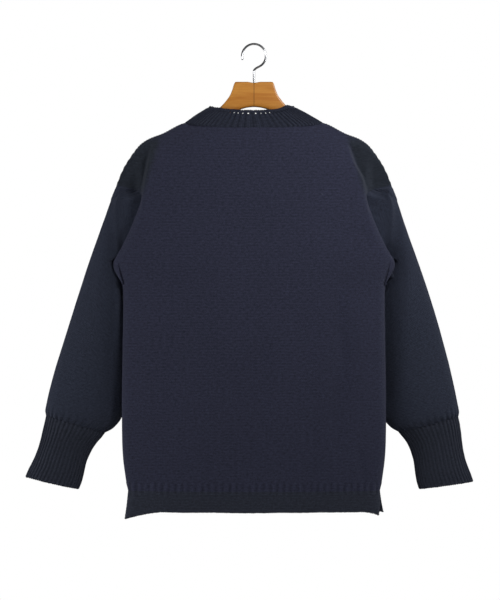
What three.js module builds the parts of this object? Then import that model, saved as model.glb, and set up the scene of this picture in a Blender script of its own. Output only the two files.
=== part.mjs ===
/**
 * A guernsey sweater hanging on a wooden coat hanger.
 *
 * Millimetres, +Z up, +X to the viewer's right, -Y to the front. The origin is the seat inside the
 * top of the hook, where the rail carries the hanger. Every piece of cloth is a wall: a grid of
 * points on its outer face, moved in by the thickness of the knitting and closed round its edges.
 * The left half mirrors the right, and the back mirrors the front.
 */
import * as THREE from 'three';
import { mergeVertices } from 'three/addons/utils/BufferGeometryUtils.js';

// ---------------------------------------------------------------- driving dimensions

const CLOTH = 2.4; // thickness of the plain knitting
const RIB = 3.0; // thickness of the ribbed and garter knitting
const SEAM = 0.4; // gap left along every seam

const STRAP_ARCH = 3; // how far a shoulder strap arches above its edges
const SECTION_POWER = 2.15; // roundness of the body's section, 2 is an ellipse

// The welt, below the body.
const WELT_TOP = -748;
const WELT_HEIGHT = 35;
const WELT_FLARE = 3;
const WELT_CORNER_DROP = 8;

// The neckband, from the seam at its foot to its cast-off edge.
const NECK_FOOT = { halfWidth: 116.5, halfDepth: 31, sideZ: -131.5, dip: 8.4 };
const NECK_EDGE = { halfWidth: 71, halfDepth: 25, sideZ: -104, dip: 8 };
const NECK_POWER = 2.5; // roundness of the neck's plan
const NECK_LEAN = -4; // how far the edge leans to the left of the foot

// The wooden hanger and its wire hook.
const BLOCK = { top: -62, halfTop: 30, halfFoot: 55, foot: -108, notch: 2 };
const ARCH = { crown: -104, radius: 62, slope: 0.455 };
const WOOD_HALF = { middle: 8, neck: 7, end: 11 };
const WOOD_CORNER = { block: 0.4, arm: 0.9 }; // 0 is a square section, 1 an ellipse
const GLUE_GAP = 0.3;
const WIRE = 3.6;
const BOW = 20; // radius of the hook's bow, to the middle of the wire

/** Top line of a wooden arm, out from the foot of the block to its rounded end. */
const ARM_TOP = [
  { x: 55, z: -107.5 },
  { x: 85, z: -120.3 },
  { x: 116, z: -134.2 },
  { x: 150, z: -150.3 },
  { x: 180, z: -165.2 },
  { x: 188, z: -170 },
  { x: 193, z: -176 },
];

const SWING_FROM = 130; // how far below the shoulder point a sleeve starts to swing

// Each side's own hang: how far the sleeve swings in, and the further bend of its cuff.
const SIDES = {
  left: { sign: -1, swing: 0, cuffBend: 0 },
  right: { sign: 1, swing: 0.9, cuffBend: 4 },
};

/**
 * The upper half of the front, a row for each level, from the neck and shoulder line down to the
 * underarm. Along a row each place is [x, y, z]: the middle, the breast, the side of the neck, the
 * shoulder, the ridge of the armhole fold, the fold's outer edge, and the armhole seam.
 */
const YOKE = [
  {
    middle: [0, -31, -140.4], breast: [62, -28.3, -140], neck: [113, -11, -133.4], shoulder: [152, -12.5, -151],
    ridge: [190, -12, -169.5], edge: [215, -10, -203], seam: [231, -4, -236],
  },
  {
    middle: [0, -36, -163], breast: [62, -34, -163], neck: [112, -29, -164], shoulder: [149, -25, -171],
    ridge: [181, -25, -190], edge: [207, -20, -215], seam: [222, -15.5, -238],
  },
  {
    middle: [0, -38, -190], breast: [62, -37, -190], neck: [112, -34, -191], shoulder: [148, -33, -195],
    ridge: [177, -33, -207], edge: [197, -25, -226], seam: [209, -21, -241],
  },
  {
    middle: [0, -39, -217], breast: [62, -38.5, -217], neck: [112, -37, -218], shoulder: [150, -37, -221],
    ridge: [179, -37, -228], edge: [189, -29, -237], seam: [196, -21, -246],
  },
  {
    middle: [0, -40, -245], breast: [62, -40, -245], neck: [112, -39, -246], shoulder: [152, -39, -248],
    ridge: [180, -37, -253], edge: [188, -27, -256], seam: [185, -14, -259],
  },
  {
    middle: [0, -40, -275], breast: [62, -40.5, -275], neck: [113, -40, -276], shoulder: [156, -39, -278],
    ridge: [187, -36, -281], edge: [196, -25, -283], seam: [191, -11, -284],
  },
  {
    middle: [0, -40, -305], breast: [62, -40.5, -305], neck: [114, -40, -306], shoulder: [160, -38, -308],
    ridge: [195, -33, -310], edge: [207, -22, -311], seam: [202, -9.5, -311],
  },
  {
    middle: [0, -40, -334], breast: [62, -40.5, -334], neck: [115, -40, -334], shoulder: [164, -37, -335],
    ridge: [205, -28, -336], edge: [219, -17, -336], seam: [216, -8.5, -336],
  },
  {
    middle: [0, -40, -362], breast: [63, -40, -362], neck: [116, -39, -362], shoulder: [166, -35, -362],
    ridge: [211, -23, -362], edge: [228, -14, -361], seam: [231, -9, -360],
  },
];
const PLACES = ['middle', 'breast', 'neck', 'shoulder', 'ridge', 'edge', 'seam'];

/** How far each place lies across a row, from the middle of the body to its seam. */
const ACROSS = { middle: 0, breast: 0.27, neck: 0.49, shoulder: 0.68, ridge: 0.86, edge: 0.94, seam: 1 };

/** Sections of the body below the underarm: half its width and half its depth. */
const BODY = [
  { z: -404, halfWidth: 221, halfDepth: 40 },
  { z: -455, halfWidth: 220, halfDepth: 41 },
  { z: -520, halfWidth: 221, halfDepth: 41 },
  { z: -600, halfWidth: 222, halfDepth: 40 },
  { z: -680, halfWidth: 221, halfDepth: 38 },
  { z: -725, halfWidth: 216, halfDepth: 36 },
  { z: WELT_TOP, halfWidth: 212, halfDepth: 35 },
];

/** The body's width just under the armhole, where the sleeve starts to pass behind it. */
const UNDERARM = { z: -362, halfWidth: 231, halfDepth: 40 };
const SLEEVE_CLEAR = 5; // room between a sleeve and the back of the body

/** The underarm gusset's points: front, body, and sleeve. Its back point mirrors the front one. */
const GUSSET = { front: [231, -9, -360], body: [221, 0, -404], sleeve: [234, 2, -388] };

const GUSSET_ROOM = 3; // room beside the sleeve, whose wall turns up round the gusset's tip

/**
 * Soft hanging folds of the body: where each starts and ends, how wide it is and how far it stands
 * out (a trough is negative). The back has its own.
 */
const FOLDS = {
  front: [
    { x: -128, toX: -150, top: -250, bottom: -700, width: 34, out: -3.5 },
    { x: -60, toX: -74, top: -330, bottom: -720, width: 40, out: 3 },
    { x: 22, toX: 12, top: -420, bottom: -735, width: 30, out: -3 },
    { x: 96, toX: 118, top: -300, bottom: -640, width: 42, out: 3 },
    { x: 150, toX: 138, top: -430, bottom: -735, width: 30, out: -4 },
  ],
  back: [
    { x: -110, toX: -132, top: -300, bottom: -690, width: 38, out: -3 },
    { x: -30, toX: -20, top: -380, bottom: -735, width: 34, out: 3 },
    { x: 74, toX: 92, top: -280, bottom: -700, width: 40, out: -3.5 },
    { x: 152, toX: 160, top: -440, bottom: -720, width: 28, out: 2.5 },
  ],
};

/**
 * Rings of a sleeve below its armhole: the points at its outer and inner edge, half its depth, and
 * how far back the two edges hang. The inner edge falls behind the body.
 */
const SLEEVE = [
  { outer: [243, -268], inner: [238, -400], halfDepth: 13, outerY: 0, innerY: 4 },
  { outer: [258, -311], inner: [218, -430], halfDepth: 20, outerY: 0, innerY: 22 },
  { outer: [277, -364], inner: [206, -460], halfDepth: 25, outerY: 1, innerY: 33 },
  { outer: [297, -424], inner: [204, -496], halfDepth: 26, outerY: 2, innerY: 35 },
  { outer: [317, -487], inner: [207, -536], halfDepth: 27, outerY: 3, innerY: 36 },
  { outer: [335, -546], inner: [212, -582], halfDepth: 29, outerY: 3, innerY: 37 },
  { outer: [346, -590], inner: [222, -622], halfDepth: 30, outerY: 3, innerY: 36 },
  { outer: [350, -612], inner: [236, -643], halfDepth: 27, outerY: 3, innerY: 32 },
  { outer: [349, -622], inner: [252, -652], halfDepth: 21, outerY: 4, innerY: 28 },
];

/** Rings of a cuff, in the same columns. */
const CUFF = [
  { outer: [349.2, -622.5], inner: [252.3, -652.5], halfDepth: 20.5, outerY: 4, innerY: 28 },
  { outer: [354, -647], inner: [270, -673], halfDepth: 17, outerY: 6, innerY: 27 },
  { outer: [362, -674], inner: [281, -698], halfDepth: 16, outerY: 7, innerY: 26 },
  { outer: [373, -703], inner: [288, -724], halfDepth: 17, outerY: 7, innerY: 25 },
  { outer: [384, -725], inner: [296, -747], halfDepth: 18, outerY: 7, innerY: 25 },
];

const COLOURS = { wool: 0x2f313d, rib: 0x2b2d39, wood: 0xb87836, steel: 0xc9ccd0 };

// ---------------------------------------------------------------- curves through tables

const lerp = (a, b, t) => a + (b - a) * t;
const clamp01 = (t) => Math.min(1, Math.max(0, t));
const smooth = (t) => clamp01(t) ** 2 * (3 - 2 * clamp01(t));
const RAD = Math.PI / 180;

/** Value at `at` of the smooth curve through `values`, which lie at the rising places `knots`. */
function through(knots, values, at) {
  const last = knots.length - 1;
  let i = 0;
  while (i < last - 1 && at > knots[i + 1]) i += 1;
  const slope = (k) => {
    const a = Math.max(0, k - 1);
    const b = Math.min(last, k + 1);
    return (values[b] - values[a]) / (knots[b] - knots[a]);
  };
  const step = knots[i + 1] - knots[i];
  const t = (at - knots[i]) / step;
  const t2 = t * t;
  const t3 = t2 * t;
  return (
    (2 * t3 - 3 * t2 + 1) * values[i] +
    (t3 - 2 * t2 + t) * step * slope(i) +
    (3 * t2 - 2 * t3) * values[i + 1] +
    (t3 - t2) * step * slope(i + 1)
  );
}

/** The same curve for points: each is an array of coordinates. */
function throughPoints(knots, points, at) {
  return points[0].map((_, axis) => through(knots, points.map((p) => p[axis]), at));
}

/** Evenly spaced numbers from a to b, both included. */
function spread(a, b, count) {
  return Array.from({ length: count }, (_, i) => lerp(a, b, i / (count - 1)));
}

// ---------------------------------------------------------------- walls of cloth

const sub = (a, b) => [a[0] - b[0], a[1] - b[1], a[2] - b[2]];
const cross = (a, b) => [a[1] * b[2] - a[2] * b[1], a[2] * b[0] - a[0] * b[2], a[0] * b[1] - a[1] * b[0]];

/**
 * Closes a grid of outer points into a wall of the given thickness. Rows run down the piece and
 * each row runs so that (along the row) x (down the rows) points out of the garment: to the left
 * on the front. A closed grid's rows join their ends. `cut` says how its edges are cut: it may
 * change the direction of the thickness at a point, given its row, its place in the row and itself.
 */
function wall(rows, thickness, { closed = false, cut = () => {} } = {}) {
  const height = rows.length;
  const width = rows[0].length;
  const wrap = (j) => (closed ? (j + width) % width : Math.min(width - 1, Math.max(0, j)));
  const outer = rows.flat();
  const inner = [];
  for (let i = 0; i < height; i += 1) {
    for (let j = 0; j < width; j += 1) {
      const along = sub(rows[i][wrap(j + 1)], rows[i][wrap(j - 1)]);
      const down = sub(rows[Math.min(height - 1, i + 1)][j], rows[Math.max(0, i - 1)][j]);
      const n = cross(along, down);
      cut(n, { top: i === 0, foot: i === height - 1, end: j === 0 || j === width - 1 }, rows[i][j]);
      const length = Math.hypot(...n);
      inner.push(rows[i][j].map((c, axis) => c - (n[axis] / length) * thickness));
    }
  }
  const index = [];
  const count = outer.length;
  const at = (i, j) => i * width + wrap(j);
  const quad = (a, b, c, d) => index.push(a, b, c, a, c, d);
  const spans = closed ? width : width - 1;
  for (let i = 0; i < height - 1; i += 1) {
    for (let j = 0; j < spans; j += 1) {
      quad(at(i, j), at(i, j + 1), at(i + 1, j + 1), at(i + 1, j));
      quad(count + at(i, j), count + at(i + 1, j), count + at(i + 1, j + 1), count + at(i, j + 1));
    }
  }
  for (let j = 0; j < spans; j += 1) {
    quad(at(0, j + 1), at(0, j), count + at(0, j), count + at(0, j + 1));
    quad(at(height - 1, j), at(height - 1, j + 1), count + at(height - 1, j + 1), count + at(height - 1, j));
  }
  for (let i = 0; i < height - 1 && !closed; i += 1) {
    quad(at(i, 0), at(i + 1, 0), count + at(i + 1, 0), count + at(i, 0));
    quad(at(i + 1, width - 1), at(i, width - 1), count + at(i, width - 1), count + at(i + 1, width - 1));
  }
  const geometry = new THREE.BufferGeometry();
  geometry.setAttribute('position', new THREE.Float32BufferAttribute([...outer, ...inner].flat(), 3));
  geometry.setIndex(index);
  return geometry;
}

/** Edges cut level, as at the neck and above the welt. */
function cutLevel(n, edge) {
  if (edge.top || edge.foot) n[2] = 0;
}

/** Edges cut upright, as beside the shoulder straps. */
function cutUpright(n, edge) {
  if (edge.end) n[1] = 0;
}

/** A panel: level at neck and welt, upright along the shoulder and down the side seams. */
function cutPanel(n, edge, point) {
  const shoulder = edge.top && Math.abs(point[0]) > 0.9 * NECK_FOOT.halfWidth && point[2] > UNDERARM.z;
  const sideSeam = edge.end && Math.abs(point[1]) < 2 && point[2] < UNDERARM.z;
  if (shoulder || sideSeam) n[1] = 0;
  else if (edge.top || edge.foot) n[2] = 0;
}

/** A sleeve's armhole edge: cut straight from front to back, clear of the panel and the gusset. */
function cutArmhole(n, edge, point) {
  if (edge.top && Math.abs(point[1]) > 6) n.splice(0, 3, 0, Math.sign(point[1]), 0);
}

/** Mirrors a grid of points in x or y, turning its rows round so that its outside stays outside. */
function mirrored(rows, axis) {
  return rows.map((row) => row.map((p) => p.map((c, k) => (k === axis ? -c : c))).reverse());
}

// ---------------------------------------------------------------- the body

/** Depth of the body's section at a share of its half width. */
function sectionDepth(section, share) {
  return section.halfDepth * (1 - Math.min(1, share) ** SECTION_POWER) ** (1 / SECTION_POWER);
}

/** Rows of places for the whole of one panel's right half, from the shoulder line to the welt. */
const HALF_PANEL = [
  ...YOKE,
  ...BODY.map((section) => {
    const share = { middle: 0, breast: 0.28, neck: 0.52, shoulder: 0.745, ridge: 0.935, edge: 0.984, seam: 1 };
    const row = {};
    for (const place of PLACES) {
      row[place] = [share[place] * section.halfWidth, -sectionDepth(section, share[place]), section.z];
    }
    return row;
  }),
];
const LEVELS = HALF_PANEL.map((_, i) => i);

/** How far the hanging folds move a point of the body out of its smooth form. */
function foldOut(folds, x, z) {
  let out = 0;
  for (const fold of folds) {
    const t = (z - fold.top) / (fold.bottom - fold.top);
    const across = (x - lerp(fold.x, fold.toX, t)) / fold.width;
    const along = smooth(t / 0.35) * smooth((1 - t) / 0.3);
    out += fold.out * along * Math.exp(-across * across * 2);
  }
  return out;
}

/** Outer point of a panel at a level (0 is the shoulder line) and a share across, -1 to 1. */
function panelPoint(level, share, folds) {
  const knots = PLACES.map((place) => ACROSS[place]);
  const keys = PLACES.map((place) => throughPoints(LEVELS, HALF_PANEL.map((row) => row[place]), level));
  const [x, y, z] = throughPoints(knots, keys, Math.abs(share));
  const side = Math.sign(share) || 1;
  return [side * x, y - foldOut(folds, side * x, z), z];
}

/** Shares across one row, closer together where the armhole fold turns. */
const HALF_SHARES = [0.12, 0.25, 0.38, 0.49, 0.59, 0.68, 0.77, 0.83, 0.88, 0.92, 0.96, 0.996];
const SHARES = [...HALF_SHARES.map((s) => -s).reverse(), 0, ...HALF_SHARES].reverse();
const PANEL_LEVELS = [...spread(0, 8, 14), 8.5, 9, 9.8, 10.7, 11.6, 12.5, 13.3, 14.2, 15];

function panel(folds) {
  return PANEL_LEVELS.map((level) => SHARES.map((share) => panelPoint(level, share, folds)));
}

/** Moves the side seam of a panel off the middle plane, so that front and back stay apart. */
function parted(rows) {
  const gap = SEAM / 2;
  return rows.map((row) => row.map(([x, y, z]) => [x, Math.min(y, -gap), z]));
}

/** A welt: the foot of its panel carried down, a little wider, with corners that hang lower. */
function welt(folds) {
  const top = SHARES.map((share) => panelPoint(LEVELS.length - 1, share, folds));
  return spread(SEAM, WELT_HEIGHT, 3).map((drop) =>
    top.map(([x, y, z], j) => {
      const t = drop / WELT_HEIGHT;
      const corner = Math.abs(SHARES[j]) ** 6;
      return [x * (1 + (WELT_FLARE / 215) * t), y * (1 - 0.03 * t), z - drop - WELT_CORNER_DROP * corner * t];
    }),
  );
}

// ---------------------------------------------------------------- shoulder straps

/** The strap between the front's and the back's shoulder lines, arched over the hanger's arm. */
function strap() {
  const shares = spread(ACROSS.neck + 0.02, 0.99, 10);
  return shares.map((share) => {
    const [x, y, z] = panelPoint(0, share, []);
    const half = -y - 2 * SEAM;
    return spread(1, -1, 5).map((t) => [x, half * t, z + (1 - t * t) * Math.min(STRAP_ARCH, half * 0.4)]);
  });
}

// ---------------------------------------------------------------- neckband

function neckRing(t) {
  const size = {};
  for (const name of Object.keys(NECK_FOOT)) size[name] = lerp(NECK_FOOT[name], NECK_EDGE[name], t);
  const power = (v) => Math.sign(v) * Math.abs(v) ** (2 / NECK_POWER);
  return spread(0, 2 * Math.PI, 37).slice(0, -1).map((angle) => {
    const c = Math.cos(angle);
    const s = Math.sin(angle);
    return [size.halfWidth * power(c) + NECK_LEAN * t, -size.halfDepth * power(s), size.sideZ - size.dip * s * s];
  });
}

function neckband() {
  return spread(1, 0, 4).map((t) => neckRing(t));
}

// ---------------------------------------------------------------- sleeves and cuffs

const RING_POINTS = 20;

/** The armhole seam: down the front from the shoulder point, then round under the gusset's tip. */
function armholeRing() {
  const front = spread(0, 8, RING_POINTS / 2).map((level) => panelPoint(level, 1, []));
  front[0] = [front[0][0], 0, front[0][2]];
  return [...front, GUSSET.sleeve];
}

/** A ring of the sleeve or cuff, front half first, from its outer edge round to its inner edge. */
function tubeRing(row, count) {
  const centre = [(row.outer[0] + row.inner[0]) / 2, (row.outerY + row.innerY) / 2, (row.outer[1] + row.inner[1]) / 2];
  const reach = [
    (row.outer[0] - row.inner[0]) / 2,
    (row.outerY - row.innerY) / 2,
    (row.outer[1] - row.inner[1]) / 2,
  ];
  return spread(0, 2 * Math.PI, count + 1).slice(0, -1).map((angle) => {
    const c = Math.cos(angle);
    const s = Math.sin(angle);
    return [centre[0] + reach[0] * c, centre[1] + reach[1] * c - row.halfDepth * s, centre[2] + reach[2] * c];
  });
}

/** The full armhole ring, its back half mirroring the front one. */
function wholeArmhole() {
  const half = armholeRing();
  const back = half.slice(1, -1).reverse().map(([x, y, z]) => [x, -y, z]);
  return [...half, ...back];
}

/** Swings a point in about the shoulder, and bends it further below the cuff's seam. */
function hang([x, y, z], side) {
  const pivot = [231, -236];
  const swing = side.swing * RAD * smooth((pivot[1] - SWING_FROM - z) / 200);
  let px = pivot[0] + (x - pivot[0]) * Math.cos(swing) + (z - pivot[1]) * Math.sin(swing);
  let pz = pivot[1] - (x - pivot[0]) * Math.sin(swing) + (z - pivot[1]) * Math.cos(swing);
  const bend = side.cuffBend * RAD * smooth((-600 - pz) / 110);
  const wrist = [300, -620];
  const dx = px - wrist[0];
  const dz = pz - wrist[1];
  px = wrist[0] + dx * Math.cos(bend) + dz * Math.sin(bend);
  pz = wrist[1] - dx * Math.sin(bend) + dz * Math.cos(bend);
  return [px, y, pz];
}

/** Keeps a point of a sleeve behind the back of the body, where the sleeve hangs past its side. */
function behindBody([x, y, z]) {
  if (z > UNDERARM.z) return [x, y, z];
  const sections = [UNDERARM, ...BODY];
  const knots = sections.map((section) => -section.z);
  const halfWidth = through(knots, sections.map((section) => section.halfWidth), -z);
  const halfDepth = through(knots, sections.map((section) => section.halfDepth), -z);
  const depth = sectionDepth({ halfDepth }, x / halfWidth);
  const nearest = depth + SLEEVE_CLEAR - 1.2 * Math.max(0, x - halfWidth);
  return [x, Math.max(y, nearest), z];
}

function tube(rings, levels, side) {
  const knots = rings.map((_, i) => i);
  const points = (level) => rings[0].map((_, j) => throughPoints(knots, rings.map((r) => r[j]), level));
  return levels.map((level) => points(level).map((p) => behindBody(hang(p, side))));
}

/**
 * The ring just below the armhole: away from the shoulder point it leaves the seam outwards before
 * it goes down, so that the sleeve comes out from behind the armhole fold.
 */
function headRing(armhole, below) {
  return armhole.map((p, j) => {
    const away = smooth(Math.min(j, RING_POINTS - j) / 4);
    const share = [lerp(0.25, 0.8, away), 0.4, 0.25];
    return p.map((c, axis) => lerp(c, below[j][axis], share[axis]));
  });
}

function sleeve(side) {
  const armhole = wholeArmhole();
  const rings = SLEEVE.map((row) => tubeRing(row, RING_POINTS));
  rings.unshift(armhole, headRing(armhole, rings[0]));
  const last = rings.length - 1;
  return tube(rings, [0.055, 0.5, 1, 1.5, 2, 2.6, 3.2, 4, 4.8, 5.7, 6.6, 7.5, 8.3, 9.2, last], side);
}

function cuff(side) {
  const rings = CUFF.map((row) => tubeRing(row, RING_POINTS));
  return tube(rings, spread(0, rings.length - 1, 5), side);
}

/** The gusset: a saddle between its four points, folded along the line from front to back. */
function gusset() {
  const back = [GUSSET.front[0], -GUSSET.front[1], GUSSET.front[2]];
  const inset = 0.12;
  const sleeveTip = [GUSSET.sleeve[0] - GUSSET_ROOM, GUSSET.sleeve[1], GUSSET.sleeve[2]];
  return spread(inset, 1 - inset, 5).map((v) =>
    spread(inset, 1 - inset, 5).map((u) =>
      GUSSET.front.map((_, axis) => {
        const upper = lerp(sleeveTip[axis], GUSSET.front[axis], u);
        const lower = lerp(back[axis], GUSSET.body[axis], u);
        return lerp(upper, lower, v);
      }),
    ),
  );
}

// ---------------------------------------------------------------- the hanger

/** Top line of the block and arm at a distance from the middle, and the line of their underside. */
function armTop(x) {
  if (x >= BLOCK.halfFoot) return through(ARM_TOP.map((row) => row.x), ARM_TOP.map((row) => row.z), x);
  const t = clamp01((x - BLOCK.halfTop) / (BLOCK.halfFoot - BLOCK.halfTop));
  const notch = BLOCK.notch * clamp01(1 - x / 10);
  return lerp(BLOCK.top, BLOCK.foot, Math.sqrt(1 - (1 - t) ** 2.2)) - notch;
}

function armUnder(x) {
  const turn = ARCH.radius * ARCH.slope;
  const arch = ARCH.crown - Math.min(x, turn) ** 2 / (2 * ARCH.radius);
  return arch - Math.max(0, x - turn) * ARCH.slope;
}

/** Sections of one arm: rounded slabs from the glue line to the rounded end. */
function arm() {
  const end = ARM_TOP[ARM_TOP.length - 1].x;
  const places = [GLUE_GAP / 2, 10, 20, 29, 30.5, 33, 37, 42, 48, 55, 66, 80, 96, 112, 130, 148, 166, 180, 188, end];
  return places.map((x) => {
    const top = armTop(x);
    const under = armUnder(x);
    const neck = lerp(WOOD_HALF.middle, WOOD_HALF.neck, smooth(x / 115));
    const half = lerp(neck, WOOD_HALF.end, smooth((x - 115) / 60)) * (x < end ? 1 : 0.7);
    const corner = lerp(WOOD_CORNER.block, WOOD_CORNER.arm, smooth((x - 40) / 50));
    const round = (v) => Math.sign(v) * Math.abs(v) ** corner;
    return spread(0, 2 * Math.PI, 13).slice(0, -1).map((angle) => {
      const height = (top + under) / 2 + ((top - under) / 2) * round(Math.cos(angle));
      return [x, -half * round(Math.sin(angle)), height];
    });
  });
}

/** Closes a stack of rings into a solid with flat ends. */
function loft(rings) {
  const width = rings[0].length;
  const points = rings.flat();
  const index = [];
  for (let i = 0; i < rings.length - 1; i += 1) {
    for (let j = 0; j < width; j += 1) {
      const k = (j + 1) % width;
      const [a, b, c, d] = [i * width + j, i * width + k, (i + 1) * width + k, (i + 1) * width + j];
      index.push(a, b, c, a, c, d);
    }
  }
  for (let j = 1; j < width - 1; j += 1) {
    index.push(0, j + 1, j);
    const base = (rings.length - 1) * width;
    index.push(base, base + j, base + j + 1);
  }
  const geometry = new THREE.BufferGeometry();
  geometry.setAttribute('position', new THREE.Float32BufferAttribute(points.flat(), 3));
  geometry.setIndex(index);
  return geometry;
}

/** The hook: a straight shank out of the block, then a bow whose crown carries the hanger. */
function hook() {
  const centre = WIRE / 2 - BOW;
  const foot = BLOCK.top - BLOCK.notch + 2 * SEAM;
  const points = [];
  for (const z of spread(foot, centre - BOW - 6, 4)) points.push(new THREE.Vector3(0, 0, z));
  for (const angle of spread(-62, 200, 18)) {
    points.push(new THREE.Vector3(BOW * Math.cos(angle * RAD), 0, centre + BOW * Math.sin(angle * RAD)));
  }
  const section = new THREE.Shape();
  section.absarc(0, 0, WIRE / 2, 0, 2 * Math.PI);
  const path = new THREE.CatmullRomCurve3(points);
  return new THREE.ExtrudeGeometry(section, { steps: 44, extrudePath: path, curveSegments: 4, bevelEnabled: false });
}

// ---------------------------------------------------------------- assembly

const sweater = new THREE.Group();

function add(name, geometry, colour, roughness = 0.95, metalness = 0) {
  const bare = geometry.clone();
  bare.deleteAttribute('normal');
  bare.deleteAttribute('uv');
  const mesh = new THREE.Mesh(mergeVertices(bare, 1e-4));
  mesh.geometry.computeVertexNormals();
  mesh.material = new THREE.MeshStandardMaterial({ color: colour, roughness, metalness });
  mesh.name = name;
  sweater.add(mesh);
}

add('front', wall(parted(panel(FOLDS.front)), CLOTH, { cut: cutPanel }), COLOURS.wool);
add('back', wall(mirrored(parted(panel(FOLDS.back)), 1), CLOTH, { cut: cutPanel }), COLOURS.wool);
add('welt_front', wall(parted(welt(FOLDS.front)), RIB, { cut: cutPanel }), COLOURS.rib);
add('welt_back', wall(mirrored(parted(welt(FOLDS.back)), 1), RIB, { cut: cutPanel }), COLOURS.rib);
add('neckband', wall(neckband(), RIB, { closed: true, cut: cutLevel }), COLOURS.rib);

for (const [name, side] of Object.entries(SIDES)) {
  const placed = (rows) => (side.sign < 0 ? mirrored(rows, 0) : rows);
  add(`shoulder_strap_${name}`, wall(placed(strap()), CLOTH, { cut: cutUpright }), COLOURS.wool);
  add(`sleeve_${name}`, wall(placed(sleeve(side)), CLOTH, { closed: true, cut: cutArmhole }), COLOURS.wool);
  add(`cuff_${name}`, wall(placed(cuff(side)), RIB, { closed: true }), COLOURS.rib);
  add(`gusset_${name}`, wall(placed(gusset()), CLOTH), COLOURS.wool);
  add(`hanger_${name}`, loft(placed(arm())), COLOURS.wood, 0.5);
}
add('hook', hook(), COLOURS.steel, 0.25, 1);

export default sweater;
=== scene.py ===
"""A guernsey sweater on a wooden coat hanger, built over the packed frame.

Sizes are in millimetres until a mesh is made: +X to the viewer's right, -Y to the front, +Z up,
with the origin on the rail that carries the hook. Each piece of knitting is a grid of points on its
outer face. The grid is closed into a wall, and a geometry node tree raises its ribs and ridges.
"""

import math

import bmesh
import bpy
import numpy as np
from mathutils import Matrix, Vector


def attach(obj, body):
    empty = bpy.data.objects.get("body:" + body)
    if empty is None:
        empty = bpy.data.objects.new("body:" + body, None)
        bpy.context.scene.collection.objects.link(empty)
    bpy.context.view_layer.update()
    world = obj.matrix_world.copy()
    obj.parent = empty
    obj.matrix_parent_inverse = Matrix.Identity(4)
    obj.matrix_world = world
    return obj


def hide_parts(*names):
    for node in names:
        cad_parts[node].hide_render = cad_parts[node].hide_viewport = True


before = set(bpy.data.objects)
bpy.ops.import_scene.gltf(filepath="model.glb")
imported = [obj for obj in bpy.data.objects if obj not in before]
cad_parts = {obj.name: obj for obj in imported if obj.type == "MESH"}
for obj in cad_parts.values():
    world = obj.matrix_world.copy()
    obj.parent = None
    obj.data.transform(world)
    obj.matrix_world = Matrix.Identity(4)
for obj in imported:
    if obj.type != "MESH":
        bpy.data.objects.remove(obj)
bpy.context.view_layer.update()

bl_info = {
    "name": "Guernsey sweater",
    "version": (1, 0, 0),
    "blender": (4, 5, 0),
    "location": "View3D > Sidebar > Guernsey",
    "description": "Knits a guernsey sweater hung on a wooden hanger, piece by piece",
    "category": "Object",
}

MM = 0.001

# ------------------------------------------------------------------ sizes

CLOTH = 2.4
RIB = 3.0
SECTION_POWER = 2.15
STRAP_ARCH = 3.0

WELT_TOP = -748.0
WELT_HEIGHT = 35.0
WELT_FLARE = 3.0

NECK_FOOT = {"half_width": 116.5, "half_depth": 31.0, "side_z": -131.5, "dip": 8.4}
NECK_EDGE = {"half_width": 71.0, "half_depth": 25.0, "side_z": -104.0, "dip": 8.0}
NECK_POWER = 2.5
NECK_LEAN = -4.0
BACK_SAG = 8.5  # how far the back of the neckband's edge hangs below the front's

BLOCK = {"top": -62.0, "notch": 2.0}
ARCH = {"crown": -104.0, "radius": 62.0, "slope": 0.455}
WOOD_HALF = {"middle": 8.0, "neck": 7.0, "end": 11.0}
TIP_FROM = 180.0  # where the end of an arm starts to round off
WIRE = 3.6
BOW = 20.0

ARM_TOP = [
    (29, -62), (31.5, -62.6), (33.8, -66.5), (36, -74), (40, -84), (46, -92.8), (52, -99.8), (59, -106.4),
    (70, -113.4), (85, -120.3), (116, -134.2), (150, -150.3), (180, -165.2), (188, -170), (193, -176)]

SWING_FROM = 130.0
SIDES = {
    "left": {"sign": -1, "swing": 0.0, "cuff_bend": 0.0},
    "right": {"sign": 1, "swing": 0.9, "cuff_bend": 4.0},
}

# Upper half of a panel. Each row runs from the middle through the breast, neck, shoulder, ridge of
# the armhole fold and the fold's edge to the armhole seam.
YOKE = [
    [(0, -31, -140.4), (62, -28.3, -140), (113, -11, -133.4), (152, -12.5, -151),
     (190, -12, -169.5), (215, -10, -203), (231, -4, -236)],
    [(0, -36, -163), (62, -34, -163), (112, -29, -164), (149, -25, -171),
     (181, -25, -190), (207, -20, -215), (222, -15.5, -238)],
    [(0, -38, -190), (62, -37, -190), (112, -34, -191), (148, -33, -195),
     (177, -33, -207), (197, -25, -226), (209, -21, -241)],
    [(0, -39, -217), (62, -38.5, -217), (112, -37, -218), (150, -37, -221),
     (179, -37, -228), (189, -29, -237), (196, -21, -246)],
    [(0, -40, -245), (62, -40, -245), (112, -39, -246), (152, -39, -248),
     (180, -37, -253), (188, -27, -256), (185, -14, -259)],
    [(0, -40, -275), (62, -40.5, -275), (113, -40, -276), (156, -39, -278),
     (187, -36, -281), (196, -25, -283), (191, -11, -284)],
    [(0, -40, -305), (62, -40.5, -305), (114, -40, -306), (160, -38, -308),
     (195, -33, -310), (207, -22, -311), (202, -9.5, -311)],
    [(0, -40, -334), (62, -40.5, -334), (115, -40, -334), (164, -37, -335),
     (205, -28, -336), (219, -17, -336), (216, -8.5, -336)],
    [(0, -40, -362), (63, -40, -362), (116, -39, -362), (166, -35, -362),
     (211, -23, -362), (228, -14, -361), (231, -9, -360)],
]
ACROSS = [0, 0.27, 0.49, 0.68, 0.86, 0.94, 1]
BODY_ACROSS = [0, 0.28, 0.52, 0.745, 0.935, 0.984, 1]

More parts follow.
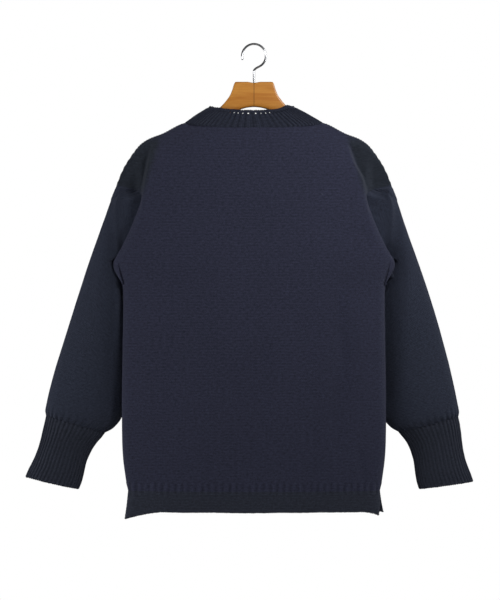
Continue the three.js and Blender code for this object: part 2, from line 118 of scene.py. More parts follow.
# Sections of the body below the underarm: height, half width, half depth.
BODY = [
    (-404, 221, 40), (-455, 220, 41), (-520, 221, 41), (-600, 222, 40),
    (-680, 221, 38), (-725, 216, 36), (WELT_TOP, 212, 35),
]
UNDERARM = (-362, 231, 40)
SLEEVE_CLEAR = 5.0

SLEEVE_TIP = (234, 2, -388)  # where the sleeve's own seam meets the gusset

# Soft folds of the two panels: x at the top, x at the foot, top, foot, width, how far it stands out.
FOLDS = {
    "front": [
        (-128, -150, -250, -700, 34, -3.5),
        (-60, -74, -330, -720, 40, 3),
        (22, 12, -420, -735, 30, -3),
        (96, 118, -300, -640, 42, 3),
        (150, 138, -430, -735, 30, -4),
    ],
    "back": [
        (-110, -132, -300, -690, 38, -3),
        (-30, -20, -380, -735, 34, 3),
        (74, 92, -280, -700, 40, -3.5),
        (152, 160, -440, -720, 28, 2.5),
    ],
}

# Finer creases that lie on the folds, in the same columns.
CREASES = {
    "front": [
        (-34, 20, -620, -712, 9, -1.1),
        (-20, 30, -600, -700, 12, 0.9),
        (96, 112, -640, -742, 11, -1.3),
        (178, 196, -300, -350, 10, -1.2),
        (170, 186, -660, -742, 10, -1.4),
        (-168, -176, -190, -300, 9, -1.3),
        (140, 152, -400, -560, 14, -1.2),
    ],
    "back": [
        (40, -6, -610, -712, 10, -1.0),
        (-98, -110, -640, -742, 12, -1.2),
        (-182, -196, -300, -350, 10, -1.2),
        (165, 176, -190, -300, 9, -1.2),
    ],
}

# The edge of the fold that each panel makes over the armhole: height, and x on the left and right.
ARM_FOLD = [
    (-165, -166, 154), (-176, -170, 157), (-202, -175, 166),
    (-222, -179, 177), (-244, -183, 184), (-262, -186, 188),
]

# Rings of a sleeve below its armhole: outer point (x, z), inner point (x, z), half depth, and how
# far back the outer and inner points hang.
SLEEVE = [
    (243, -268, 219, -402, 13, 0, 10),
    (258, -311, 218, -430, 20, 0, 22),
    (277, -364, 206, -460, 25, 1, 33),
    (297, -424, 204, -496, 26, 2, 35),
    (317, -487, 207, -536, 27, 3, 36),
    (335, -546, 212, -582, 29, 3, 37),
    (346, -590, 222, -622, 30, 3, 36),
    (350, -612, 236, -643, 27, 3, 32),
    (349, -622, 252, -652, 21, 4, 28),
]
CUFF = [
    (349.2, -622.5, 252.3, -652.5, 20.5, 4, 28),
    (354, -647, 270, -673, 17, 6, 27),
    (362, -674, 281, -698, 16, 7, 26),
    (373, -703, 288, -724, 17, 7, 25),
    (384, -725, 296, -747, 18, 7, 25),
]
RING_POINTS = 20

# Levels of a panel's tables: 0 is the shoulder line.
UNDERARM_LEVEL = len(YOKE) - 1
WELT_LEVEL = UNDERARM_LEVEL + len(BODY)
PANEL_COLUMNS = 236
HEM_PITCH = 11.3
EYELETS = 72
STRAP_COLUMNS = 34

SHOULDER = (231, -236)  # x and z that a sleeve swings about
WRIST = (300, -620)  # x and z that a cuff bends about
ARM_REST = -14.8  # y of cloth that lies on the hanger's arm

# The soft crease along which the front of a sleeve turns back, from its top to its foot.
SLEEVE_CREASE = {"x": (259, 247), "z": (-378, -596)}
# The first row of a sleeve passes under the panels' edges.
ALLOWANCE = {"in": 4.5, "up": 5.0, "wide": 6.5}

# The rounded patch of a gusset, from its top to its foot.
GUSSET = {"x": (225.5, 221.5), "z": (-349.5, -402.0), "half_width": 16.0, "stands": 13.0}

# The painted shade on the top of each shoulder, beyond the armhole fold, which makes the wool duller: the
# slant and place of the fold, and where it starts and ends, in metres.
CAP_SHADE = {
    "slant": 0.3, "fold": (0.104, 0.114), "foot": (-0.268, -0.240), "top": (-0.145, -0.165),
    "tint": (0.70, 0.80, 0.60),
}
FLOOR = {"z": -1260, "radius": 1500, "corners": 96}
CAMERA = {"x": -0.0067, "z": -0.4283, "distance": 4.0, "sees": 1.008, "sensor": 24}

# ------------------------------------------------------------------ curves through tables


def lerp(a, b, t):
    return a + (b - a) * t


def smooth(t):
    t = np.clip(t, 0.0, 1.0)
    return t * t * (3 - 2 * t)


def through(knots, values, at):
    """Values at `at` of the smooth curve through `values`, which lie at the rising places `knots`."""
    knots = np.asarray(knots, float)
    values = np.asarray(values, float)
    at = np.atleast_1d(np.asarray(at, float))
    last = len(knots) - 1
    every = np.arange(last + 1)
    low, high = np.maximum(every - 1, 0), np.minimum(every + 1, last)
    tail = (1,) * (values.ndim - 1)
    slope = (values[high] - values[low]) / (knots[high] - knots[low]).reshape(-1, *tail)
    i = np.clip(np.searchsorted(knots, at, side="right") - 1, 0, last - 1)
    step = (knots[i + 1] - knots[i]).reshape(-1, *tail)
    t = ((at - knots[i]) / (knots[i + 1] - knots[i])).reshape(-1, *tail)
    t2, t3 = t * t, t * t * t
    return (
        (2 * t3 - 3 * t2 + 1) * values[i]
        + (t3 - 2 * t2 + t) * step * slope[i]
        + (3 * t2 - 2 * t3) * values[i + 1]
        + (t3 - t2) * step * slope[i + 1]
    )


def turns(count):
    """Angles of evenly spaced points round a circle."""
    return np.arange(count) * math.tau / count


def squared(v, power):
    """A cosine or sine whose circle is turned towards a square as the power falls below 1."""
    return np.sign(v) * np.abs(v) ** power


def hills(at_x, at_z, table):
    """How far a table of folds moves each point out of the smooth form."""
    out = np.zeros_like(at_x)
    for x, to_x, top, foot, width, height in table:
        t = (at_z - top) / (foot - top)
        across = (at_x - lerp(x, to_x, t)) / width
        out += height * smooth(t / 0.35) * smooth((1 - t) / 0.3) * np.exp(-2 * across * across)
    return out


def waves(a, b, seed, count=5):
    """A gentle unevenness from -1 to 1 over two coordinates, from a few seeded waves."""
    rng = np.random.default_rng(seed)
    total = np.zeros(np.broadcast(a, b).shape)
    for _ in range(count):
        turn, size, start = rng.uniform(0, math.tau), rng.uniform(0.6, 1.8), rng.uniform(0, math.tau)
        total += np.sin(size * (a * math.cos(turn) + b * math.sin(turn)) + start)
    return total / count


# ------------------------------------------------------------------ grids of the pieces


def mirrored(grid, axis):
    """The grid mirrored in one axis, turned round so that its outside stays outside."""
    grid = grid[:, ::-1].copy()
    grid[..., axis] *= -1
    return grid


def section_depth(half_depth, share):
    return half_depth * (1 - np.clip(share, 0, 1) ** SECTION_POWER) ** (1 / SECTION_POWER)


def half_panel():
    rows = [list(map(list, row)) for row in YOKE]
    for z, half_width, half_depth in BODY:
        depths = section_depth(half_depth, np.array(BODY_ACROSS))
        rows.append([[s * half_width, -depth, z] for s, depth in zip(BODY_ACROSS, depths)])
    return np.array(rows, float)


def panel_points(levels, shares, folds=()):
    """Outer points of a panel at levels (0 is the shoulder line) and shares across, -1 to 1."""
    table = half_panel()
    keys = through(np.arange(len(table)), table, levels)
    flipped = keys[:, :0:-1] * (-1, 1, 1)
    whole = np.concatenate([flipped, keys], axis=1)
    knots = np.array([-a for a in ACROSS[:0:-1]] + ACROSS)
    grid = through(knots, whole.transpose(1, 0, 2), shares).transpose(1, 0, 2)
    grid[..., 1] -= hills(grid[..., 0], grid[..., 2], folds)
    return grid


def neck_ring(share, angles, sag=0.0):
    size = {name: lerp(NECK_FOOT[name], NECK_EDGE[name], share) for name in NECK_FOOT}
    c, s = np.cos(angles), np.sin(angles)
    z = size["side_z"] - size["dip"] * s * s - sag * share * np.where(s < 0, s * s, 0) ** 1.5
    x = size["half_width"] * squared(c, 2 / NECK_POWER) + NECK_LEAN * share
    return np.stack([x, -size["half_depth"] * squared(s, 2 / NECK_POWER), z], axis=-1)


def armhole_ring():
    front = panel_points(np.linspace(0, UNDERARM_LEVEL, RING_POINTS // 2), np.array([1.0]))[:, 0]
    front[0, 1] = 0
    half = np.vstack([front, SLEEVE_TIP])
    back = half[1:-1][::-1] * (1, -1, 1)
    return np.vstack([half, back])


def tube_ring(row):
    outer_x, outer_z, inner_x, inner_z, half_depth, outer_y, inner_y = row
    angles = turns(RING_POINTS)
    c, s = np.cos(angles), np.sin(angles)
    x = (outer_x + inner_x) / 2 + (outer_x - inner_x) / 2 * c
    y = (outer_y + inner_y) / 2 + (outer_y - inner_y) / 2 * c - half_depth * s
    z = (outer_z + inner_z) / 2 + (outer_z - inner_z) / 2 * c
    return np.stack([x, y, z], axis=-1)


def turned_about(centre, x, z, angle):
    dx, dz = x - centre[0], z - centre[1]
    c, s = np.cos(angle), np.sin(angle)
    return centre[0] + dx * c + dz * s, centre[1] - dx * s + dz * c


def hang(points, side):
    """Swings points in about the shoulder, and bends them further below the cuff's seam."""
    x, y, z = (points[..., k] for k in range(3))
    swing = math.radians(side["swing"]) * smooth((SHOULDER[1] - SWING_FROM - z) / 200)
    x, z = turned_about(SHOULDER, x, z, swing)
    bend = math.radians(side["cuff_bend"]) * smooth((-600 - z) / 110)
    x, z = turned_about(WRIST, x, z, bend)
    return np.stack([x, y, z], axis=-1)


def behind_body(points):
    """Keeps a sleeve behind the back of the body where it hangs past its side."""
    sections = np.array([UNDERARM, *BODY], float)
    x, y, z = (points[..., k] for k in range(3))
    sizes = through(-sections[:, 0], sections[:, 1:], np.clip(-z.ravel(), 362, 748)).reshape(*z.shape, 2)
    depth = section_depth(sizes[..., 1], x / sizes[..., 0])
    nearest = depth + SLEEVE_CLEAR - 1.2 * np.maximum(0, x - sizes[..., 0])
    points = points.copy()
    points[..., 1] = np.where(z > UNDERARM[0], y, np.maximum(y, nearest))
    return points


def tube_points(rings, levels, around, side):
    """Points of a tube at levels down its rings, with `around` points in each."""
    rings = np.asarray(rings, float)
    down = through(np.arange(len(rings)), rings, levels)
    wide = np.concatenate([down[:, -3:], down, down[:, :4]], axis=1).transpose(1, 0, 2)
    places = np.arange(around) * RING_POINTS / around
    grid = through(np.arange(-3, RING_POINTS + 4), wide, places).transpose(1, 0, 2)
    return behind_body(hang(grid, side))


def sleeve_rings():
    armhole = armhole_ring()
    first = tube_ring(SLEEVE[0])
    j = np.arange(RING_POINTS)
    away = smooth(np.minimum(j, RING_POINTS - j) / 4)
    share = np.stack([lerp(0.25, 0.8, away), np.full(RING_POINTS, 0.4), np.full(RING_POINTS, 0.25)], axis=-1)
    head = armhole + (first - armhole) * share
    return [armhole, head, *(tube_ring(row) for row in SLEEVE)]


# ------------------------------------------------------------------ walls and meshes


def normals(grid, closed):
    along = np.roll(grid, -1, 1) - np.roll(grid, 1, 1)
    if not closed:
        along[:, 0] = grid[:, 1] - grid[:, 0]
        along[:, -1] = grid[:, -1] - grid[:, -2]
    n = np.cross(along, np.gradient(grid, axis=0))
    return n / np.maximum(np.linalg.norm(n, axis=-1, keepdims=True), 1e-9)


def steps(grid, axes=(0, 1, 2)):
    """Distance along each row from its first point, measured in some of the axes."""
    d = np.linalg.norm(np.diff(grid[..., axes], axis=1), axis=-1)
    return np.concatenate([np.zeros((len(grid), 1)), np.cumsum(d, axis=1)], axis=1)


def falls(grid):
    """Distance down each column from its first point."""
    d = np.linalg.norm(np.diff(grid, axis=0), axis=-1)
    return np.concatenate([np.zeros((1, grid.shape[1])), np.cumsum(d, axis=0)])


def ring_wale(grid, period):
    """Distance round each ring, evenly shared."""
    around = grid.shape[1]
    return np.broadcast_to(np.arange(around) * period / around, grid.shape[:2])


def wall(name, grid, thickness, wale, course, closed=False, holes=None, cut=None):
    """A piece of knitting: the outer grid, the inner one and the rims between them.

    `wale` and `course` give each point's distance across and down the knitting, in millimetres.
    `holes` marks cells that are left open. `cut` may turn the thickness at the edges.
    """
    height, width = grid.shape[:2]
    out = normals(grid, closed)
    inward = out.copy()
    if cut:
        cut(inward, grid)
        inward /= np.linalg.norm(inward, axis=-1, keepdims=True)
    inner = grid - inward * thickness
    at = np.arange(height * width).reshape(height, width)
    after = np.roll(at, -1, 1)
    spans = width if closed else width - 1
    a, b = at[:-1, :spans], after[:-1, :spans]
    c, d = after[1:, :spans], at[1:, :spans]
    keep = np.ones(a.shape, bool) if holes is None else ~holes[:, :spans]
    count = height * width
    faces = [np.stack([a, b, c, d], -1)[keep], np.stack([a, d, c, b], -1)[keep] + count]

    def rim(p, q, mask):
        p, q = p[mask], q[mask]
        faces.append(np.stack([q, p, p + count, q + count], -1))

    pad = np.pad(keep, 1, constant_values=False)
    if closed:
        pad[:, 0], pad[:, -1] = pad[:, -2], pad[:, 1]
    rim(a, b, keep & ~pad[:-2, 1:-1])
    rim(c, d, keep & ~pad[2:, 1:-1])
    rim(d, a, keep & ~pad[1:-1, :-2])
    rim(b, c, keep & ~pad[1:-1, 2:])

    points = np.concatenate([grid.reshape(-1, 3), inner.reshape(-1, 3)])
    quads = np.concatenate(faces)
    twice = lambda v: np.tile(v.reshape(-1), 2)
    lift = np.concatenate([out.reshape(-1, 3), -0.35 * out.reshape(-1, 3)])
    return mesh_object(name, points, quads, twice(wale), twice(course), lift)


def new_object(name, data):
    """An object linked to the scene."""
    made = bpy.data.objects.new(name, data)
    bpy.context.scene.collection.objects.link(made)
    return made


def mesh_object(name, points, quads, wale=None, course=None, lift=None):
    """An object from points in millimetres and quads, with its knitting coordinates."""
    mesh = bpy.data.meshes.new(name)
    mesh.vertices.add(len(points))
    mesh.vertices.foreach_set("co", (np.asarray(points, np.float32) * MM).ravel())
    mesh.loops.add(quads.size)
    mesh.loops.foreach_set("vertex_index", quads.astype(np.int32).ravel())
    mesh.polygons.add(len(quads))
    mesh.polygons.foreach_set("loop_start", np.arange(0, quads.size, quads.shape[1], dtype=np.int32))
    if wale is not None:
        layer = mesh.uv_layers.new(name="knit")
        uv = np.stack([wale[quads.ravel()], course[quads.ravel()]], -1) / 10
        layer.data.foreach_set("uv", uv.astype(np.float32).ravel())
        for label, values in (("wale", wale), ("course", course)):
            mesh.attributes.new(label, "FLOAT", "POINT").data.foreach_set("value", values.astype(np.float32))
        lifts = mesh.attributes.new("lift", "FLOAT_VECTOR", "POINT").data
        lifts.foreach_set("vector", lift.astype(np.float32).ravel())
    mesh.update(calc_edges=True)
    mesh.validate()
    return new_object(name, mesh)


# ------------------------------------------------------------------ node trees


class Tree:
    """Adds nodes to a tree, each with its inputs given as values or as other nodes' outputs."""

    def __init__(self, tree):
        self.tree = tree

    def fill(self, node, values):
        for key, value in values.items():
            if isinstance(value, bpy.types.NodeSocket):
                self.tree.links.new(value, node.inputs[key])
            else:
                node.inputs[key].default_value = value
        return node

    def add(self, kind, *inputs, named=None, **settings):
        node = self.tree.nodes.new(kind)
        for key, value in settings.items():
            setattr(node, key, value)
        return self.fill(node, dict(enumerate(inputs)) | (named or {}))

    def out(self, kind, *inputs, named=None, **settings):
        """The first output of a new node."""
        return self.add(kind, *inputs, named=named, **settings).outputs[0]

    def out_named(self, kind, name, **settings):
        return self.add(kind, **settings).outputs[name]

    def math(self, operation, *inputs, clamp=False):
        return self.out("ShaderNodeMath", *inputs, operation=operation, use_clamp=clamp)

    def times(self, a, b):
        return self.math("MULTIPLY", a, b)

    def noise(self, vector, scale, detail, **named):
        return self.out("ShaderNodeTexNoise", named={
            "Vector": vector, "Scale": scale, "Detail": detail, **named})

    def stretched(self, vector, scale):
        return self.out("ShaderNodeMapping", named={"Vector": vector, "Scale": scale})

    def scaled(self, vector, scale):
        return self.out("ShaderNodeVectorMath", vector, operation="SCALE", named={"Scale": scale})

    def blend(self, share, first, second):
        """A colour between two others."""
        node = self.add("ShaderNodeMix", data_type="RGBA", named={0: share, 6: first, 7: second})
        return node.outputs[2]

    def lay_out(self):
        """Places the nodes in columns, each to the right of the nodes that feed it."""
        depth = {}

        def place(node, trail=()):
            if node.name not in depth:
                feeding = [link.from_node for link in self.tree.links
                           if link.to_node == node and link.from_node.name not in trail]
                depth[node.name] = 1 + max((place(n, (*trail, node.name)) for n in feeding), default=-1)
            return depth[node.name]

        rows = {}
        for node in self.tree.nodes:
            column = place(node)
            row = rows[column] = rows.get(column, -1) + 1
            node.location = (column * 220, -row * 180)


def new_group(name, kind, inputs, outputs):
    """A node group. Each input is (name, kind of socket, default, least), each output (name, kind)."""
    group = bpy.data.node_groups.new(name, kind)
    for label, socket, *rest in inputs:
        item = group.interface.new_socket(name=label, in_out="INPUT", socket_type="NodeSocket" + socket)
        for key, value in zip(("default_value", "min_value"), rest):
            setattr(item, key, value)
    for label, socket in outputs:
        group.interface.new_socket(name=label, in_out="OUTPUT", socket_type="NodeSocket" + socket)
    return group, Tree(group), group.nodes.new("NodeGroupInput").outputs


def finish_tree(t, geometry, material):
    real = t.out("GeometryNodeRealizeInstances", geometry)
    t.add("NodeGroupOutput", t.out("GeometryNodeSetMaterial", named={"Geometry": real, "Material": material}))
    t.lay_out()


def relief_tree():
    """Raises the ribs and ridges of a piece of knitting from its wale and course distances."""
    numbers = (
        ("Rib Pitch", 6.2), ("Rib Depth", 0.0), ("Rib From", -1000.0), ("Rib To", 5000.0),
        ("Ridge Pitch", 5.0), ("Ridge Depth", 0.0), ("Ridge From", -1000.0), ("Ridge To", 5000.0),
        ("Fade", 3.0), ("Unevenness", 0.25),
    )
    group, t, given = new_group("Knit relief", "GeometryNodeTree", [
        ("Geometry", "Geometry"), *((name, "Float", default) for name, default in numbers),
        ("Seed", "Int", 1), ("Material", "Material")], [("Geometry", "Geometry")])

    def stored(name, kind="FLOAT"):
        return t.out("GeometryNodeInputNamedAttribute", name, data_type=kind)

    wale, course = stored("wale"), stored("course")
    drift = t.out("ShaderNodeTexNoise", noise_dimensions="4D", named={
        "Vector": t.out("ShaderNodeCombineXYZ", wale, course), "W": given["Seed"],
        "Scale": 0.035, "Detail": 2.0})
    drift = t.math("SUBTRACT", drift, 0.5)

    def fade(start, end, **named):
        return t.out("ShaderNodeMapRange", interpolation_type="SMOOTHSTEP", named={
            "Value": course, "From Min": start, "From Max": end} | named)

    def band(start, end):
        rising = fade(start, t.math("ADD", start, given["Fade"]))
        falling = fade(t.math("SUBTRACT", end, given["Fade"]), end, **{"To Min": 1.0, "To Max": 0.0})
        return t.times(rising, falling)

    def raised(label, distance, sway):
        phase = t.times(t.math("DIVIDE", distance, given[f"{label} Pitch"]), math.tau)
        phase = t.math("ADD", phase, t.times(drift, sway))
        wave = t.math("POWER", t.math("MULTIPLY_ADD", t.math("COSINE", phase), 0.5, 0.5), 0.75)
        height = t.times(t.math("SUBTRACT", wave, 0.5), given[f"{label} Depth"])
        return t.times(height, band(given[f"{label} From"], given[f"{label} To"]))

    rib = t.times(raised("Rib", wale, 2.2), t.math("MULTIPLY_ADD", drift, 1.2, 1.0))
    relief = t.math("ADD", rib, raised("Ridge", course, 1.5))
    height = t.math("ADD", relief, t.times(drift, given["Unevenness"]))
    offset = t.scaled(stored("lift", "FLOAT_VECTOR"), t.times(height, MM))
    moved = t.out("GeometryNodeSetPosition", named={"Geometry": given["Geometry"], "Offset": offset})
    # The relief is also kept for the wool's painted shade in the grooves.
    kept = t.out("GeometryNodeStoreNamedAttribute", data_type="FLOAT", domain="POINT", named={
        "Geometry": moved, "Name": "relief", "Value": relief})
    finish_tree(t, kept, given["Material"])
    return group


def chain_tree():
    """Lays the loops of a cast-off edge along a line of edges."""
    group, t, given = new_group("Cast-off chain", "GeometryNodeTree", [
        ("Geometry", "Geometry"), ("Pitch", "Float", 0.0035, 0.0005), ("Loop Size", "Vector"),
        ("Unevenness", "Float", 0.15), ("Seed", "Int", 1), ("Material", "Material")],
        [("Geometry", "Geometry")])
    line = t.out("GeometryNodeMeshToCurve", given["Geometry"])
    line = t.out("GeometryNodeResampleCurve", mode="LENGTH", named={"Curve": line, "Length": given["Pitch"]})
    tangent = t.out("GeometryNodeInputTangent")
    turned = t.out("FunctionNodeAlignRotationToVector", axis="X", named={"Vector": tangent})
    lean = t.out("FunctionNodeEulerToRotation", (0.0, 0.45, 0.0))
    tilt = t.out("FunctionNodeRotateRotation", rotation_space="LOCAL", named={
        "Rotation": turned, "Rotate By": lean})
    size = t.add("FunctionNodeRandomValue", data_type="FLOAT", named={2: -1.0, 3: 1.0, "Seed": given["Seed"]})
    scale = t.math("MULTIPLY_ADD", size.outputs[1], given["Unevenness"], 1.0)
    laid = t.out("GeometryNodeInstanceOnPoints", named={
        "Points": line, "Instance": t.out("GeometryNodeMeshIcoSphere", 1.0, 2), "Rotation": tilt,
        "Scale": t.scaled(given["Loop Size"], scale)})
    laid = t.out("GeometryNodeRealizeInstances", laid)
    finish_tree(t, t.out("GeometryNodeSetShadeSmooth", laid), given["Material"])
    return group


def evaluate(piece, group, **inputs):
    """Runs a geometry node tree on a piece and keeps the result as its plain mesh."""
    modifier = piece.modifiers.new(group.name, "NODES")
    modifier.node_group = group
    sockets = {item.name: item.identifier for item in group.interface.items_tree
               if item.item_type == "SOCKET" and item.in_out == "INPUT"}
    for name, value in inputs.items():
        modifier[sockets[name.replace("_", " ").title()]] = value
    depsgraph = bpy.context.evaluated_depsgraph_get()
    depsgraph.update()
    evaluated = piece.evaluated_get(depsgraph)
    mesh = bpy.data.meshes.new_from_object(evaluated, preserve_all_data_layers=True, depsgraph=depsgraph)
    mesh.name = piece.name
    old = piece.data
    piece.modifiers.clear()
    piece.data = mesh
    bpy.data.meshes.remove(old)
    mesh.shade_smooth()
    mesh.set_sharp_from_angle(angle=math.radians(62))


def tree_named(name, make):
    return bpy.data.node_groups.get(name) or make()


# ------------------------------------------------------------------ shader groups and materials


def stitch_group():
    """Stocking stitch: columns of V-shaped loops over knitting coordinates in centimetres."""
    group, t, given = new_group("Stocking stitch", "ShaderNodeTree", [
        ("Vector", "Vector"), ("Wale Width", "Float", 0.34, 0.01), ("Course Height", "Float", 0.25, 0.01)],
        [("Height", "Float")])
    split = t.add("ShaderNodeSeparateXYZ", given["Vector"]).outputs
    across = t.math("SUBTRACT", t.math("FRACT", t.math("DIVIDE", split[0], given["Wale Width"])), 0.5)
    side = t.math("ABSOLUTE", across)
    down = t.math("DIVIDE", split[1], given["Course Height"])
    leg = t.math("COSINE", t.times(t.math("MULTIPLY_ADD", side, 1.3, down), math.tau))
    leg = t.math("MULTIPLY_ADD", leg, 0.35, 0.65)
    off = t.times(t.math("ABSOLUTE", t.math("SUBTRACT", side, 0.25)), 4.0)
    full = t.math("SUBTRACT", 1.0, t.times(off, off))
    t.add("NodeGroupOutput", t.math("MULTIPLY", leg, full, clamp=True))
    t.lay_out()
    return group


def tone_group():
    """Uneven tone of worn wool: soft patches, streaks along the courses, fleck and lint."""
    group, t, given = new_group("Wool tone", "ShaderNodeTree", [
        ("Position", "Vector"), ("Knitting", "Vector"), ("Patches", "Float", 0.12),
        ("Streaks", "Float", 0.25), ("Fleck", "Float", 0.2)], [("Tone", "Float"), ("Lint", "Float")])
    amounts = {
        "Patches": t.noise(given["Position"], 9.0, 3.0),
        "Streaks": t.noise(t.stretched(given["Knitting"], (1.5, 3.9, 1.0)), 1.0, 2.0),
        "Fleck": t.noise(given["Knitting"], 3.4, 2.0),
    }
    tone = 1.0
    for name, value in amounts.items():
        tone = t.math("ADD", t.times(t.math("SUBTRACT", value, 0.5), given[name]), tone)
    cells = t.add("ShaderNodeTexVoronoi", named={"Vector": given["Position"], "Scale": 26.0}).outputs
    speck = t.math("LESS_THAN", cells["Distance"], 0.03)
    rare = t.math("GREATER_THAN", t.out("ShaderNodeSeparateColor", cells["Color"]), 0.93)
    t.add("NodeGroupOutput", named={"Tone": tone, "Lint": t.times(speck, rare)})
    t.lay_out()
    return group


def grain_group():
    """Long wood grain that runs along the piece's X, over its own coordinates in metres."""
    group, t, given = new_group("Wood grain", "ShaderNodeTree", [("Position", "Vector")],
                                [("Grain", "Float")])
    wide = t.noise(t.stretched(given["Position"], (14.0, 60.0, 110.0)), 1.0, 3.0, Distortion=0.6)
    pores = t.noise(t.stretched(given["Position"], (30.0, 700.0, 900.0)), 1.0, 1.0)
    t.add("NodeGroupOutput", t.math("ADD", t.times(wide, 0.65), t.times(pores, 0.35)))
    t.lay_out()
    return group


def material_of(name, make, *details):
    """The material of a name, made by `make` on first use."""
    material = bpy.data.materials.get(name)
    if material is None:
        material = bpy.data.materials.new(name)
        material.use_nodes = True
        t = Tree(material.node_tree)
        t.fill(material.node_tree.nodes["Principled BSDF"], make(t, *details))
        t.lay_out()
    return material


def group_node(t, group, **named):
    node = t.add("ShaderNodeGroup", node_tree=group)
    return t.fill(node, {name.replace("_", " "): value for name, value in named.items()}).outputs


def painted_cap_shade(t, position, colour):
    """The wool is duller and less blue on the caps of the shoulders, beyond the fold."""
    x, _, z = t.add("ShaderNodeSeparateXYZ", position).outputs
    past = t.math("MULTIPLY_ADD", z, CAP_SHADE["slant"], t.math("ABSOLUTE", x))
    beyond = t.out("ShaderNodeMapRange", past, *CAP_SHADE["fold"], 0.0, 1.0)
    low = t.out("ShaderNodeMapRange", z, *CAP_SHADE["foot"], 0.0, 1.0)
    high = t.out("ShaderNodeMapRange", z, *CAP_SHADE["top"], 0.0, 1.0)
    cap_shade_colour = [c * f for c, f in zip(colour, CAP_SHADE["tint"])]
    # Where the painted shoulder shade falls.
    cap_shade_mask = t.times(beyond, t.times(low, high))
    return t.blend(cap_shade_mask, (*colour, 1), (*cap_shade_colour, 1))


def wool(t, colour, settings, streaks, shade_caps):
    """Matt worsted wool in a colour, with its stitches as a bump and a little sheen."""
    position = t.out_named("ShaderNodeTexCoord", "Object")
    knitting = t.out("ShaderNodeUVMap", uv_map="knit")
    tone = group_node(t, tree_named("Wool tone", tone_group), Position=position, Knitting=knitting,
                      Streaks=streaks, Patches=0.14, Fleck=1.0)
    wale = settings.wale_width * 100
    height = group_node(t, tree_named("Stocking stitch", stitch_group), Vector=knitting,
                        Wale_Width=wale, Course_Height=wale * 0.74)["Height"]
    relief = t.out_named("ShaderNodeAttribute", "Fac", attribute_name="relief")
    # Painted shade: darker wool in the grooves between ribs and ridges, and painted light on their crests.
    groove_shading = t.math("MULTIPLY_ADD", relief, settings.painted_groove_shade, 1.0)
    # Painted shade: the gaps between stitches are darker than the loops.
    contrast = settings.painted_stitch_shade
    shade = t.times(t.times(tone["Tone"], groove_shading), t.math("MULTIPLY_ADD", height, contrast, 1 - contrast / 2))
    # The dyed colour times the random tone and the painted shade.
    dyed_and_shaded = t.scaled(painted_cap_shade(t, position, colour) if shade_caps else colour, shade)
    return {
        "Base Color": t.blend(tone["Lint"], dyed_and_shaded, (0.22, 0.22, 0.25, 1)),
        "Normal": t.out("ShaderNodeBump", named={"Strength": 0.7, "Distance": 0.0009, "Height": height}),
        "Roughness": 0.95,
        "Specular IOR Level": 0.15,
        "Sheen Weight": 0.12,
        "Sheen Roughness": 0.6,
        "Sheen Tint": (0.6, 0.65, 0.85, 1),
    }


def varnished_wood(t):
    """Amber wood under varnish, darker along the glue line between the two arms."""
    position = t.out_named("ShaderNodeTexCoord", "Object")
    grain = group_node(t, tree_named("Wood grain", grain_group), Position=position)["Grain"]
    ramp = t.add("ShaderNodeValToRGB", grain)
    ends = ((0.36, (0.53, 0.190, 0.022, 1)), (0.66, (0.70, 0.305, 0.050, 1)))
    for element, (place, colour) in zip(ramp.color_ramp.elements, ends):
        element.position, element.color = place, colour
    beside = t.math("ABSOLUTE", t.out("ShaderNodeSeparateXYZ", position))
    glue = t.out("ShaderNodeMapRange", beside, 0.0002, 0.0016, 0.62, 1.0)
    return {
        "Base Color": t.scaled(ramp.outputs[0], glue),
        "Normal": t.out("ShaderNodeBump", named={"Strength": 0.12, "Distance": 0.0004, "Height": grain}),
        "Roughness": 0.42,
        "Coat Weight": 0.35,
        "Coat Roughness": 0.18,
    }


def bright_steel(t):
    haze = t.noise(t.out_named("ShaderNodeTexCoord", "Object"), 180.0, 3.0)
    return {"Base Color": (0.62, 0.63, 0.65, 1), "Metallic": 1.0,
            "Roughness": t.math("MULTIPLY_ADD", haze, 0.16, 0.16)}


def pale_floor(t):
    return {"Base Color": (0.82, 0.82, 0.81, 1), "Roughness": 0.9}


# ------------------------------------------------------------------ pieces


def knit(name, grid, thickness, wale, course, nodes, material, closed=False, period=None,
         holes=None, cut=None, relief=None, seed=1):
    """A finished piece of knitting: wall, relief, finish, and its place in the frame."""
    if not np.isfinite(grid).all():
        raise RuntimeError(f"{name}: a point of its grid isn't a number")
    piece = wall(name, grid, thickness, wale, course, closed, holes, cut)
    if period:
        layer = piece.data.uv_layers["knit"].data
        uv = np.empty(len(layer) * 2, np.float32)
        layer.foreach_get("uv", uv)
        uv = uv.reshape(-1, 4, 2)
        whole = period / 10
        uv[..., 0] += np.where((uv[..., 0].max(1, keepdims=True) - uv[..., 0]) > whole / 2, whole, 0)
        layer.foreach_set("uv", uv.ravel())
    evaluate(piece, tree_named("Knit relief", relief_tree), material=material, seed=seed, **(relief or {}))
    settle(piece, nodes)
    return piece


def settle(piece, nodes):
    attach(piece, "root")
    if nodes:
        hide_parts(*nodes)


def chain(name, points, pitch, size, material, closed=False, seed=1):
    """The loops of a cast-off edge along points given in millimetres."""
    count = len(points)
    mesh = bpy.data.meshes.new(name)
    edges = [(i, i + 1) for i in range(count - 1)] + ([(count - 1, 0)] if closed else [])
    mesh.from_pydata([tuple(p) for p in np.asarray(points) * MM], edges, [])
    piece = new_object(name, mesh)
    evaluate(piece, tree_named("Cast-off chain", chain_tree), material=material, pitch=pitch * MM,
             loop_size=tuple(v * MM for v in size), seed=seed)
    settle(piece, ())
    return piece


def cut_level(inward, grid):
    inward[0, :, 2] = 0
    inward[-1, :, 2] = 0


